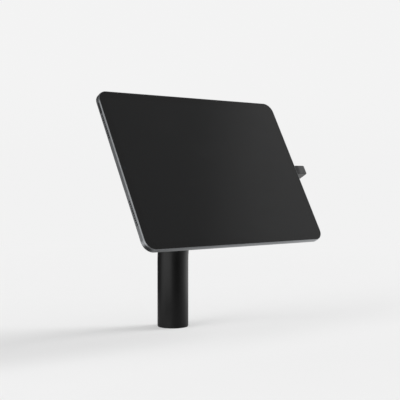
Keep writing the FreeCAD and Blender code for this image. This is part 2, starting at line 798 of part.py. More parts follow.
def head_cover():
    """Moulded tray over the plate's rear: a flared collar round the tube and four ribbed screw bosses."""
    cover = Piece("head_cover")
    width, height = f"plate_width + {COVER_MARGIN}", f"plate_height + {COVER_MARGIN}"
    corner = "plate_corner + cover_gap + cover_wall"
    shell = cover.sketch("XY_Plane", COVER_BACK).centred(width, height, corner)
    cover.pad(shell, f"{PLATE_FRONT} - {COVER_BACK}")
    cover.soften("cover_edge_radius", at_level(COVER_BACK))
    flare = cover.sketch("XZ_Plane").polygon([
        ("0", f"{COVER_BACK} - collar_height"), (COLLAR_RADIUS, f"{COVER_BACK} - collar_height"),
        (f"{COLLAR_RADIUS} + collar_flare", COVER_BACK), (f"{COLLAR_RADIUS} + collar_flare", COVER_FLOOR),
        ("0", COVER_FLOOR),
    ])
    cover.turn(flare)
    inside = cover.sketch("XY_Plane", COVER_FLOOR)
    inside.centred("plate_width + 2 * cover_gap", "plate_height + 2 * cover_gap", "plate_corner + cover_gap")
    cover.cut(inside, f"{PLATE_FRONT} - {COVER_FLOOR}", toward=1)
    throat = f"{TUBE_RADIUS} + collar_gap"
    hollow = cover.sketch("XZ_Plane").polygon([
        ("0", f"{COVER_BACK} - collar_height"), (throat, f"{COVER_BACK} - collar_height"),
        (throat, f"{COVER_BACK} - collar_wall"),
        (f"{COLLAR_RADIUS} + collar_flare - collar_wall", COVER_FLOOR), ("0", COVER_FLOOR),
    ])
    cover.groove(hollow)
    bosses = cover.sketch("XY_Plane", COVER_FLOOR)
    for x, y in cover_screw_spots():
        bosses.circle("cover_boss_diameter / 2", x, y)
    cover.pad(bosses, f"{ROTOR_FRONT} - {COVER_FLOOR}")
    for upright in (False, True):
        ribs = cover.sketch("XY_Plane", COVER_FLOOR)
        for a, b in ((1, 1), (-1, 1), (-1, -1), (1, -1)):
            cover_rib(ribs, a, b, upright)
        cover.pad(ribs, f"{ROTOR_FRONT} - {COVER_FLOOR} - cover_gap")
    wells, holes = cover.sketch("XY_Plane", COVER_BACK), cover.sketch("XY_Plane", COVER_BACK)
    for x, y in cover_screw_spots():
        wells.circle("cover_screw_head / 2 + cover_gap", x, y)
        holes.circle("cover_screw_diameter / 2 + slide_gap", x, y)
    cover.cut(wells, f"{ROTOR_FRONT} - {COVER_BACK} - cover_screw_grip", toward=1)
    cover.cut(holes, "cover_depth", toward=1)
    access = cover.sketch("XY_Plane", COVER_BACK)
    for side in ("", "-"):
        access.circle("access_hole / 2", "arm_screw_x", f"{side}arm_screw_y")
    cover.cut(access, "cover_wall", toward=1)
    mouth = "(arm_width / 2 + cover_gap)"
    exit_slot = cover.sketch("XY_Plane", f"{ARM_BACK} - cover_gap").rectangle(
        "plate_width / 2", "plate_width / 2 + plate_corner", f"-{mouth}", mouth)
    cover.cut(exit_slot, "arm_thickness + cover_gap + plate_thickness", toward=1)


def cover_rib(outline, a, b, upright):
    """Draw one rib from a boss's centre into the cover's wall; a and b are the corner's signs."""
    wall = "cover_gap + cover_wall / 2"
    if upright:
        ends = (f"{b} * cover_screw_y", f"{b} * (plate_height / 2 + {wall})")
        low, high = ends if b > 0 else ends[::-1]
        outline.rectangle(f"{a} * cover_screw_x - cover_rib / 2", f"{a} * cover_screw_x + cover_rib / 2", low, high)
        return
    ends = (f"{a} * cover_screw_x", f"{a} * (plate_width / 2 + {wall})")
    left, right = ends if a > 0 else ends[::-1]
    outline.rectangle(left, right, f"{b} * cover_screw_y - cover_rib / 2", f"{b} * cover_screw_y + cover_rib / 2")


def cover_screws():
    """Four pan-head screws in the cover's bosses."""
    screws = Piece("cover_screws", separate_copies=True)
    seat = f"({ROTOR_FRONT} - cover_screw_grip)"
    for x, y in cover_screw_spots():
        section = screws.sketch("XZ_Plane", y, x)
        screws.turn(section.polygon(pan_section("cover_screw", seat, "cover_screw_grip + cover_screw_bite")))
    sockets = screws.sketch("XY_Plane", f"{seat} - cover_screw_head_height")
    for x, y in cover_screw_spots():
        hexagon(sockets, "cover_screw_diameter * 2 / 3", x, y)
    screws.cut(sockets, "cover_screw_head_height / 2", toward=1)


def pan_section(kind, seat, length):
    """Outline half of a flat-headed screw whose head bears on a seat, tip towards the screen."""
    head, shank = f"{kind}_head / 2", f"{kind}_diameter / 2"
    rear = f"{seat} - {kind}_head_height"
    return [
        ("0", rear), (f"{head} * 3 / 4", rear), (head, f"{rear} + {kind}_head_height / 3"), (head, seat),
        (shank, seat), (shank, f"{seat} + {length}"), ("0", f"{seat} + {length}"),
    ]


def security_arm():
    """Flat bar that slides in the plate and carries the pod, grooved for a flat cable."""
    arm = Piece("security_arm")
    half, tongue, back = "arm_width / 2", "tongue_width / 2", "-arm_back_reach"
    neck = f"({ARM_SHOULDER} + arm_taper)"
    outline = arm.sketch("XY_Plane", ARM_BACK).polygon([
        (back, f"-{half}"), (ARM_SHOULDER, f"-{half}"), (neck, f"-{tongue}"), (TONGUE_END, f"-{tongue}"),
        (TONGUE_END, tongue), (neck, tongue), (ARM_SHOULDER, half), (back, half),
    ], {0: "arm_width / 4", 1: "arm_taper / 2", 2: "arm_taper / 2", 5: "arm_taper / 2", 6: "arm_taper / 2",
        7: "arm_width / 4"})
    arm.pad(outline, "arm_thickness")
    window = arm.sketch("XY_Plane", ARM_BACK)
    window.slot("-arm_travel / 2", "0", "spindle_bore + arm_travel", "spindle_bore")
    arm.cut(window, "arm_thickness", toward=1)
    groove = arm.sketch("XY_Plane", ARM_FRONT).rectangle(
        "0", f"{TONGUE_END} + arm_taper", "-cable_groove_width / 2", "cable_groove_width / 2")
    arm.cut(groove, "cable_groove_depth", toward=-1)
    threads = arm.sketch("XY_Plane", ARM_BACK)
    for side in ("", "-"):
        threads.circle("arm_screw_diameter / 2", "arm_screw_x", f"{side}arm_screw_y")
    for x in pod_screw_spots():
        threads.circle("pod_screw_diameter / 2", x, "0")
    arm.cut(threads, "arm_thickness", toward=1)


def arm_screws():
    """Two lock screws whose heads bear on the plate's rear beside their slots."""
    screws = Piece("arm_screws", separate_copies=True)
    seat = f"({ROTOR_FRONT} - slide_gap)"
    for side in ("", "-"):
        section = screws.sketch("XZ_Plane", f"{side}arm_screw_y", "arm_screw_x")
        screws.turn(section.polygon(pan_section("arm_screw", seat, "arm_screw_length")))
    sockets = screws.sketch("XY_Plane", f"{seat} - arm_screw_head_height")
    for side in ("", "-"):
        hexagon(sockets, "arm_screw_diameter * 2 / 3", "arm_screw_x", f"{side}arm_screw_y")
    screws.cut(sockets, "arm_screw_head_height / 2", toward=1)


def pod_screw_spots():
    """Place the pod's screws along the arm's tongue."""
    return (f"{TABLET_EDGE} - pod_screw_inner", f"{TABLET_EDGE} + pod_screw_outer")


def on_pod_side(box):
    """Tell whether an edge's box lies wholly in one of the pod's two side faces."""
    reach = size("pod_height") / 2
    return abs(abs(box.YMin) - reach) < 1e-4 and abs(box.YMin - box.YMax) < 1e-4


def pod_shell():
    """Front moulding of the pod: a foot under the tablet and an upright with a slanted inner face."""
    pod = Piece("pod_shell")
    section = pod.sketch("XZ_Plane").polygon([
        (POD_FOOT_END, POD_SPLIT), (POD_OUTER, POD_SPLIT), (POD_OUTER, POD_FRONT),
        (f"{POD_INNER} + pod_slant", POD_FRONT), (POD_INNER, f"{POD_FRONT} - pod_slant_drop"),
        (POD_INNER, POD_FOOT_FRONT), (POD_FOOT_END, POD_FOOT_FRONT),
    ], {2: "pod_round"})
    pod.pad(section, "pod_height", both=True)
    face, outer, foot_end = size(POD_FRONT), size(POD_OUTER), size(POD_FOOT_END)

    def soft(edge):
        """Pick the side edges of the front face, of its round and of the foot's end."""
        box = edge.BoundBox
        front = box.ZMax > face - 1e-4 and box.XMax > outer - size("pod_reach") / 2
        return on_pod_side(box) and (front or box.XMax < foot_end + 1e-4)

    pod.soften("pod_soft_edge", soft)
    room = pod.sketch("XY_Plane", POD_SPLIT).rectangle(
        f"{POD_INNER} + pod_wall", f"{POD_OUTER} - pod_wall",
        "-pod_height / 2 + pod_wall", "pod_height / 2 - pod_wall")
    pod.cut(room, f"{POD_FRONT} - {POD_SPLIT} - pod_front_wall", toward=1)
    bed = pod.sketch("XY_Plane", POD_SPLIT).rectangle(
        f"{POD_FOOT_END} - pod_wall", f"{TONGUE_END} + slide_gap",
        "-tongue_width / 2 - slide_gap", "tongue_width / 2 + slide_gap")
    pod.cut(bed, f"{ARM_FRONT} - {POD_SPLIT} + slide_gap", toward=1)
    mouth = pod.sketch("YZ_Plane", f"{POD_INNER} - pod_wall")
    mouth.slot("0", TABLET_MIDDLE, "plug_width", "plug_thickness")
    pod.cut(mouth, "2 * pod_wall", toward=1)


def pod_cover():
    """Rear half of the pod, closed over the tongue by two screws."""
    cover = Piece("pod_cover")
    section = cover.sketch("XZ_Plane").polygon([
        (POD_FOOT_END, POD_BACK), (POD_OUTER, POD_BACK), (POD_OUTER, POD_SPLIT), (POD_FOOT_END, POD_SPLIT),
    ], {0: "pod_round", 1: "pod_round"})
    cover.pad(section, "pod_height", both=True)
    split = size(POD_SPLIT)
    cover.soften("pod_soft_edge", lambda edge: on_pod_side(edge.BoundBox) and edge.BoundBox.ZMin < split - 1e-4)
    for x in pod_screw_spots():
        hole = cover.sketch("XZ_Plane", "0", x)
        cover.groove(hole.polygon(screw_section("pod_screw", POD_BACK, "pod_split", sink=-1)))


def pod_screws():
    """Two countersunk screws through the pod's rear into the tongue."""
    screws = Piece("pod_screws", separate_copies=True)
    length = f"{ARM_FRONT} - cable_groove_depth - {POD_BACK}"
    for x in pod_screw_spots():
        section = screws.sketch("XZ_Plane", "0", x)
        screws.turn(section.polygon(screw_section("pod_screw", POD_BACK, length, sink=-1)))
    sockets = screws.sketch("XY_Plane", POD_BACK)
    for x in pod_screw_spots():
        hexagon(sockets, "pod_screw_diameter * 2 / 3", x, "0")
    screws.cut(sockets, "pod_screw_head_height / 2", toward=1)


def dock_board():
    """Small circuit board upright behind the connector."""
    board = Piece("dock_board")
    low, high = f"{ARM_FRONT} + 2 * slide_gap", f"{POD_FRONT} - pod_front_wall - slide_gap"
    half = "board_width / 2"
    outline = board.sketch("YZ_Plane", BOARD_FACE).rectangle(f"-{half}", half, low, high)
    board.pad(outline, "board_thickness")


def dock_plug():
    """Connector tongue that stands out of the pod into the tablet's port."""
    plug = Piece("dock_plug")
    outline = plug.sketch("YZ_Plane", f"{POD_INNER} - plug_reach")
    outline.slot("0", TABLET_MIDDLE, "plug_width", "plug_thickness")
    plug.pad(outline, "plug_reach + board_setback")
    mouth = plug.sketch("YZ_Plane", f"{POD_INNER} - plug_reach")
    mouth.slot("0", TABLET_MIDDLE, "plug_width - plug_thickness / 3", "plug_thickness * 2 / 3")
    plug.cut(mouth, "plug_reach * 3 / 4", toward=1)


def tablet_housing():
    """Aluminium tray: bevelled lip round the glass, hollow inside, grilles, port, button and camera holes."""
    tray = Piece("tablet_housing")
    blank = tray.sketch("XY_Plane", TABLET_BACK).centred("tablet_width", "tablet_height", "tablet_corner")
    tray.pad(blank, "tablet_thickness")
    tray.soften("tablet_back_radius", at_level(TABLET_BACK))
    tray.soften("tablet_bevel_depth", at_level(TABLET_FRONT), "Chamfer", "tablet_bevel_width")
    recess = tray.sketch("XY_Plane", GLASS_SEAT).centred(
        "tablet_width - 2 * tablet_lip", "tablet_height - 2 * tablet_lip", "tablet_corner - tablet_lip")
    tray.cut(recess, "glass_thickness + glass_inset", toward=1)
    hollow = tray.sketch("XY_Plane", TRAY_FLOOR).centred(
        "tablet_width - 2 * tablet_wall", "tablet_height - 2 * tablet_wall", "tablet_corner - tablet_wall")
    tray.cut(hollow, f"{GLASS_SEAT} - {TRAY_FLOOR}", toward=1)
    grille = tray.sketch("YZ_Plane")
    for side in ("", "-"):
        for index in range(int(size("speaker_holes"))):
            step = f"({index} - (speaker_holes - 1) / 2) * speaker_pitch"
            grille.circle("speaker_hole / 2", f"{side}{SPEAKER_Y} + {step}", TABLET_MIDDLE)
    tray.cut(grille)
    port = tray.sketch("YZ_Plane", TRAY_WALL)
    port.slot("0", TABLET_MIDDLE, "port_opening_width", "port_opening_height")
    tray.cut(port, "2 * tablet_wall", toward=1)
    width = "button_width + 2 * button_fit"
    power = tray.sketch("YZ_Plane", f"-{TRAY_WALL}")
    power.slot(POWER_Y, TABLET_MIDDLE, "power_length + 2 * button_fit", width)
    tray.cut(power, "2 * tablet_wall", toward=-1)
    volume = tray.sketch("XZ_Plane", f"{TABLET_TOP} - tablet_wall")
    for x in (VOLUME_UP_X, VOLUME_DOWN_X):
        volume.slot(f"-{x}", TABLET_MIDDLE, "volume_length + 2 * button_fit", width)
    tray.cut(volume, "2 * tablet_wall", toward=1)
    cameras = tray.sketch("XY_Plane", TABLET_BACK)
    cameras.circle("camera_hole_diameter / 2", f"-{CAMERA_X}", CAMERA_Y)
    cameras.circle("flash_diameter / 2", f"-{FLASH_X}", CAMERA_Y)
    tray.cut(cameras, "tablet_floor", toward=1)


def front_glass():
    """Cover glass that fills the tray's lip."""
    glass = Piece("front_glass")
    margin = "2 * (tablet_lip + glass_gap)"
    outline = glass.sketch("XY_Plane", GLASS_SEAT).centred(
        f"tablet_width - {margin}", f"tablet_height - {margin}", "tablet_corner - tablet_lip - glass_gap")
    glass.pad(outline, "glass_thickness")


def display_module():
    """Display panel bonded to the glass."""
    panel = Piece("display_module")
    outline = panel.sketch("XY_Plane", f"{GLASS_SEAT} - display_thickness").centred(
        "tablet_width - 2 * display_border", "tablet_height - 2 * display_border", "tablet_corner / 3")
    panel.pad(outline, "display_thickness")


def battery_cells():
    """Two flat cells side by side on the tray's floor."""
    cells = Piece("battery_cells", separate_copies=True)
    outline = cells.sketch("XY_Plane", TRAY_FLOOR)
    end = f"({TABLET_TOP} - battery_end_room)"
    for left, right in (("battery_gap / 2", BATTERY_SIDE), (f"-{BATTERY_SIDE}", "-battery_gap / 2")):
        outline.rectangle(left, right, f"-{end}", end, "battery_corner")
    cells.pad(outline, "battery_thickness")


def logic_board():
    """Main board with two shield cans."""
    board = Piece("logic_board")
    end = f"({TABLET_TOP} - main_board_end_room)"
    outline = board.sketch("XY_Plane", TRAY_FLOOR).rectangle(
        f"-{BOARD_X} - main_board_width / 2", f"-{BOARD_X} + main_board_width / 2", f"-{end}", end)
    board.pad(outline, "main_board_thickness")
    cans = board.sketch("XY_Plane", f"{TRAY_FLOOR} + main_board_thickness")
    for middle in ("-shield_spread / 2", "shield_spread / 2"):
        cans.rectangle(
            f"-{BOARD_X} - shield_width / 2", f"-{BOARD_X} + shield_width / 2",
            f"{middle} - shield_length / 2", f"{middle} + shield_length / 2", "shield_corner")
    board.pad(cans, "shield_height")


def speaker_modules():
    """Four speaker boxes behind the grilles."""
    boxes = Piece("speaker_modules", separate_copies=True)
    outline = boxes.sketch("XY_Plane", TRAY_FLOOR)
    for x in (SPEAKER_X, f"-{SPEAKER_X}"):
        for y in (SPEAKER_Y, f"-{SPEAKER_Y}"):
            outline.rectangle(
                f"{x} - speaker_box_width / 2", f"{x} + speaker_box_width / 2",
                f"{y} - speaker_box_height / 2", f"{y} + speaker_box_height / 2", "speaker_box_corner")
    boxes.pad(outline, "speaker_box_thickness")


def charge_port():
    """Receptacle inside the tray that takes the dock's connector."""
    port = Piece("charge_port")
    outline = port.sketch("XY_Plane", TRAY_FLOOR).rectangle(
        f"{TRAY_WALL} - port_depth", TRAY_WALL, "-port_width / 2", "port_width / 2")
    port.pad(outline, "port_height")
    mouth = port.sketch("YZ_Plane", TRAY_WALL)
    mouth.slot("0", TABLET_MIDDLE, "plug_width + 2 * port_fit", "plug_thickness + 2 * port_fit")
    port.cut(mouth, "plug_reach - tablet_wall + 2 * port_fit", toward=-1)


def switch_spots():
    """Place each switch: its plane, its face behind the button's flange, its place along the wall."""
    inset = "(tablet_wall + button_flange_thickness + button_travel + switch_gap)"
    side, top = f"-{TABLET_EDGE} + {inset}", f"{TABLET_TOP} - {inset}"
    return (
        ("YZ_Plane", side, POWER_Y, 1),
        ("XZ_Plane", top, f"-{VOLUME_UP_X}", -1),
        ("XZ_Plane", top, f"-{VOLUME_DOWN_X}", -1),
    )


def button_switches():
    """Three switches that stand on the tray's floor behind the buttons."""
    switches = Piece("button_switches", separate_copies=True)
    for role, face, place, inward in switch_spots():
        outline = switches.sketch(role, face).rectangle(
            f"{place} - switch_width / 2", f"{place} + switch_width / 2",
            TRAY_FLOOR, f"{TABLET_MIDDLE} + button_width / 2")
        switches.pad(outline, "switch_thickness", toward=inward)


def camera_ring():
    """Raised ring round the rear camera, with its sleeve through the tray's floor."""
    ring = Piece("camera_ring")
    inner, sleeve, rim = "camera_lens_diameter / 2", "camera_hole_diameter / 2", "camera_ring_diameter / 2"
    section = ring.sketch("XZ_Plane", CAMERA_Y, f"-{CAMERA_X}").polygon([
        (inner, f"{TABLET_BACK} - camera_proud"), (rim, f"{TABLET_BACK} - camera_proud"),
        (rim, TABLET_BACK), (sleeve, TABLET_BACK), (sleeve, TRAY_FLOOR), (inner, TRAY_FLOOR),
    ], {1: "camera_proud / 3"})
    ring.turn(section)


def camera_lens():
    """Lens cover inside the ring."""
    lens = Piece("camera_lens")
    outline = lens.sketch("XY_Plane", f"{TABLET_BACK} - camera_proud + glass_inset")
    lens.pad(outline.circle("camera_lens_diameter / 2", f"-{CAMERA_X}", CAMERA_Y), "camera_lens_thickness")


def flash_lens():
    """Small lens of the rear light."""
    lens = Piece("flash_lens")
    outline = lens.sketch("XY_Plane", TABLET_BACK)
    lens.pad(outline.circle("flash_diameter / 2", f"-{FLASH_X}", CAMERA_Y), "tablet_floor")


def rear_camera():
    """Camera barrel and its square base behind the lens cover."""
    camera = Piece("rear_camera")
    start = f"({TABLET_BACK} - camera_proud + glass_inset + camera_lens_thickness)"
    barrel = camera.sketch("XY_Plane", start).circle("camera_lens_diameter / 2", f"-{CAMERA_X}", CAMERA_Y)
    camera.pad(barrel, f"{TRAY_FLOOR} - {start}")
    half = "camera_hole_diameter / 2"
    base = camera.sketch("XY_Plane", TRAY_FLOOR).rectangle(
        f"-{CAMERA_X} - {half}", f"-{CAMERA_X} + {half}", f"{CAMERA_Y} - {half}", f"{CAMERA_Y} + {half}",
        "camera_module_corner")
    camera.pad(base, "camera_module_height - tablet_floor")


def front_camera():
    """Camera under the glass's border, on a post from the tray's floor."""
    camera = Piece("front_camera")
    base = camera.sketch("XY_Plane", TRAY_FLOOR).rectangle(
        f"-{FRONT_CAMERA_X} - front_camera_diameter / 2", f"-{FRONT_CAMERA_X} + front_camera_diameter / 2",
        "-front_camera_diameter / 2", "front_camera_diameter / 2")
    camera.pad(base, "main_board_thickness + shield_height")
    barrel = camera.sketch("XY_Plane", f"{TRAY_FLOOR} + main_board_thickness + shield_height")
    barrel.circle("front_camera_diameter / 2", f"-{FRONT_CAMERA_X}", "0")
    camera.pad(barrel, f"{GLASS_SEAT} - {TRAY_FLOOR} - main_board_thickness - shield_height")


def button(name, role, edge, place, length, inward):
    """Side button: a slot-shaped cap through the wall and a flange behind it."""
    cap = Piece(name)
    outer = f"{edge} {'-' if inward > 0 else '+'} button_proud"
    inner = f"{edge} {'+' if inward > 0 else '-'} tablet_wall"
    face = cap.sketch(role, outer).slot(place, TABLET_MIDDLE, length, "button_width")
    cap.pad(face, "button_proud + tablet_wall", toward=inward)
    flange = cap.sketch(role, inner).slot(
        place, TABLET_MIDDLE, f"{length} + 2 * button_flange", "button_width + 2 * button_flange")
    cap.pad(flange, "button_flange_thickness", toward=inward)


def buttons():
    """The power button on the left edge and the two volume buttons on the top edge."""
    button("power_button", "YZ_Plane", f"-{TABLET_EDGE}", POWER_Y, "power_length", 1)
    button("volume_up_button", "XZ_Plane", TABLET_TOP, f"-{VOLUME_UP_X}", "volume_length", -1)
    button("volume_down_button", "XZ_Plane", TABLET_TOP, f"-{VOLUME_DOWN_X}", "volume_length", -1)


def build():
    """Make every piece in turn, from the foot to the tablet."""
    fill_sheet()
    for make in (
        column_tube, foot_gasket, foot_anchor, anchor_screws, head_plug, spindle_bushes, stop_pin,
        spindle, friction_washer, spring_washers, spindle_nut,
        mount_plate, plate_screws, tablet_pad, head_cover, cover_screws,
        security_arm, arm_screws, pod_shell, pod_cover, pod_screws, dock_board, dock_plug,
        tablet_housing, front_glass, display_module, battery_cells, logic_board, speaker_modules,
        charge_port, button_switches, camera_ring, camera_lens, flash_lens, rear_camera, front_camera,
        buttons,
    ):
        make()


def check():
    """Stop if any object failed or any piece isn't a valid solid."""
    doc.recompute()
    for item in doc.Objects:
        if "Invalid" in item.State or "Error" in item.State:
            raise RuntimeError(f"{item.Label} failed: {item.State}")
    for body in pieces:
        if body.Shape.isNull() or not body.Shape.isValid():
            raise RuntimeError(f"{body.Label} has no valid shape")
        print(body.Label, len(body.Shape.Solids), round(body.Shape.Volume, 1))


def export():
    """Write each piece to its own file."""
    os.makedirs("parts", exist_ok=True)
    for body in pieces:
        body.Shape.exportStep(f"parts/{body.Label}.step")


build()
check()
export()
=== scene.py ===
"""Studio scene of the tablet kiosk stand: its finishes, its smallest fittings, the light and the camera.

Lengths are metres and angles are degrees. The stand's foot is centred on the origin, the screen faces -Y.
The head has a tilted frame of its own: X across the tablet, Y up the screen, Z out of the screen.
"""

import json
import logging
import math
from dataclasses import dataclass
from enum import Enum, unique
from typing import Any, Sequence

import bmesh
import bpy
from mathutils import Matrix, Vector


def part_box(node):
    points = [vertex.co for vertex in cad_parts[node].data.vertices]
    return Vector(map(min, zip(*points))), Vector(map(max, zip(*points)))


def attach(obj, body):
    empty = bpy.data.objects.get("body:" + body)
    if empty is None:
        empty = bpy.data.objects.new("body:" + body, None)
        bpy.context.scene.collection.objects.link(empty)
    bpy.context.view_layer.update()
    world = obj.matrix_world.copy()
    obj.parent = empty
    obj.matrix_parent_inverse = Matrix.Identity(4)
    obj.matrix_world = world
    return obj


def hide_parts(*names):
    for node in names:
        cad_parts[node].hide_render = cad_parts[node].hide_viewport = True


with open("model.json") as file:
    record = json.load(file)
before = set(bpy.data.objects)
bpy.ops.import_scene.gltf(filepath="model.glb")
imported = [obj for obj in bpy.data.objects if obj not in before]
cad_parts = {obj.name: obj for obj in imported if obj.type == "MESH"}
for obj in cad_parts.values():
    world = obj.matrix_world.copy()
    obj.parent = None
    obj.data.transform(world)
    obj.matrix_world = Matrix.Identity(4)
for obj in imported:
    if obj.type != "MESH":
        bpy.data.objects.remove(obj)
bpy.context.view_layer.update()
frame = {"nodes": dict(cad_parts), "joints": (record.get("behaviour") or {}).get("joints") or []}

Colour = tuple[float, float, float, float]
Point = tuple[float, float, float]

# A place in an outline's plane, and where something starts and ends.
Spot = tuple[float, float]
Span = tuple[float, float]
Outline = list[Spot]

X_AXIS = (1.0, 0.0, 0.0)
Y_AXIS = (0.0, 1.0, 0.0)
Z_AXIS = (0.0, 0.0, 1.0)

# The scale that drops a point's third coordinate.
FLAT = (1.0, 1.0, 0.0)

# How an outline's plane lies in the maker's frame: as drawn, or facing along the tablet's width.
AS_DRAWN = Matrix.Identity(4)
SIDEWAYS = Matrix(((0, 0, 1, 0), (1, 0, 0, 0), (0, 1, 0, 0), (0, 0, 0, 1)))

# Points nearer than this become one, and edges sharper than this show as edges.
WELD = 0.000001
SHARP_ANGLE = 35.0

# How finely a rounded rim is stepped.
RIM_STEPS = 2

# The places of a Mix node's sockets when it blends colours.
MIX_FACTOR, MIX_FIRST, MIX_SECOND, MIX_COLOUR = 0, 6, 7, 2

log = logging.getLogger("kiosk_stand")


def grey(level: float, warmth: float = 0.0) -> Colour:
    """Make a near-neutral colour.

    Args:
        level: Linear brightness from 0 to 1.
        warmth: How much red is raised and blue lowered, as a share.

    Returns:
        The colour with full alpha.
    """
    return (level * (1 + warmth), level, level * (1 - warmth), 1.0)


def circle(radius: float, across: float = 0.0, up: float = 0.0, points: int = 96) -> Outline:
    """Draw a round outline.

    Args:
        radius: Its radius.
        across: Its centre's first coordinate.
        up: Its centre's second coordinate.
        points: How many points it has.

    Returns:
        The points in order.
    """
    turns = [2 * math.pi * index / points for index in range(points)]
    return [(across + radius * math.cos(turn), up + radius * math.sin(turn)) for turn in turns]


def rounded(corners: Sequence[tuple[float, float, float]], steps: int = 12) -> Outline:
    """Draw a polygon whose corners are arcs.

    Args:
        corners: The place of each corner and its radius, in order.
        steps: How many runs each arc has.

    Returns:
        The points in order.
    """
    points: Outline = []
    for index, (across, up, radius) in enumerate(corners):
        if not radius:
            points.append((across, up))
            continue
        corner = Vector((across, up))
        before = (Vector(corners[index - 1][:2]) - corner).normalized()
        after = (Vector(corners[(index + 1) % len(corners)][:2]) - corner).normalized()
        half = before.angle(after) / 2
        inward = (before + after).normalized()
        centre = corner + inward * radius / math.sin(half)
        start = (before * math.cos(half) - inward).normalized()
        end = (after * math.cos(half) - inward).normalized()
        points += [tuple(centre + start.slerp(end, step / steps) * radius) for step in range(steps + 1)]
    return points


def rounded_box(low: Sequence[float], high: Sequence[float], radius: float) -> Outline:
    """Draw a rectangle between two corners, rounded by a radius."""
    return rounded([(low[0], low[1], radius), (high[0], low[1], radius),
                    (high[0], high[1], radius), (low[0], high[1], radius)])


class Frame(Enum):
    """The two frames that a pattern or a mesh can be drawn in."""

    STAND = "stand"
    HEAD = "head"


class Ray(Enum):
    """The kinds of ray that a surface can tell apart, by the name of their output."""

    CAMERA = "Is Camera Ray"
    MIRRORED = "Is Glossy Ray"
    THROUGH = "Is Transmission Ray"


class HeadFrame:
    """The head's tilted frame, read from the joint that turns it."""

    def __init__(self) -> None:
        """Find the head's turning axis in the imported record."""
        joint = next(row for row in frame["joints"] if row["name"] == "head_rotation")
        self.origin = Vector(joint["pos_m"])
        self.out = Vector(joint["axis"]).normalized()
        self.across = Vector(X_AXIS)
        self.up = self.out.cross(self.across)

    def matrix(self) -> Matrix:
        """Return the transform from the head's frame to the stand's."""
        turn = Matrix((self.across, self.up, self.out)).transposed()
        return Matrix.Translation(self.origin) @ turn.to_4x4()

    def reach(self, node: str, quarter: bool = False) -> tuple[Vector, Vector]:
        """Measure a CAD node in the head's frame.

        Args:
            node: The node's name.
            quarter: Whether only its points right of the turning axis and above it count.

        Returns:
            Its lowest and highest corners.
        """
        inward = self.matrix().inverted()
        points = [inward @ vertex.co for vertex in frame["nodes"][node].data.vertices]
        if quarter:
            points = [point for point in points if point.x > 0 and point.y > 0]
        low, high = (Vector([pick(point[axis] for point in points) for axis in range(3)])
                     for pick in (min, max))
        return low, high

    def centre(self, node: str) -> Vector:
        """Return the middle of a CAD node in the head's frame."""
        low, high = self.reach(node)
        return (low + high) / 2


HEAD = HeadFrame()


class Signal:
    """One output socket of a shader node, usable in Python expressions as if it were a number."""

    def __init__(self, shader: "Shader", socket: bpy.types.NodeSocket) -> None:
        """Keep the socket and the shader that it belongs to."""
        self.shader = shader
        self.socket = socket

    def _maths(self, operation: str, *terms: "Signal | float") -> "Signal":
        """Add one Math node over the given terms."""
        return self.shader.add("ShaderNodeMath", {"operation": operation}, dict(enumerate(terms)))

    def __add__(self, other: "Signal | float") -> "Signal":
        """Add a value."""
        return self._maths("ADD", self, other)

    def __radd__(self, other: float) -> "Signal":
        """Add to a number on the left."""
        return self._maths("ADD", other, self)

    def __sub__(self, other: "Signal | float") -> "Signal":
        """Take a value away."""
        return self._maths("SUBTRACT", self, other)

    def __rsub__(self, other: float) -> "Signal":
        """Take from a number on the left."""
        return self._maths("SUBTRACT", other, self)

    def __mul__(self, other: "Signal | float") -> "Signal":
        """Multiply by a value."""
        return self._maths("MULTIPLY", self, other)

    def __rmul__(self, other: float) -> "Signal":
        """Multiply a number on the left."""
        return self._maths("MULTIPLY", other, self)

    def unsigned(self) -> "Signal":
        """Drop the sign."""
        return self._maths("ABSOLUTE", self)

    def wave(self) -> "Signal":
        """Take the sine."""
        return self._maths("SINE", self)

    def largest(self, other: "Signal | float") -> "Signal":
        """Keep the larger of two values."""
        return self._maths("MAXIMUM", self, other)

    def smallest(self, other: "Signal | float") -> "Signal":
        """Keep the smaller of two values."""
        return self._maths("MINIMUM", self, other)

    def rise(self, start: float, end: float) -> "Signal":
        """Turn the value into a soft step from 0 at the start to 1 at the end."""
        return self.shader.add(
            "ShaderNodeMapRange", {"interpolation_type": "SMOOTHSTEP"},
            {"Value": self, "From Min": start, "From Max": end, "To Min": 0.0, "To Max": 1.0},
        )


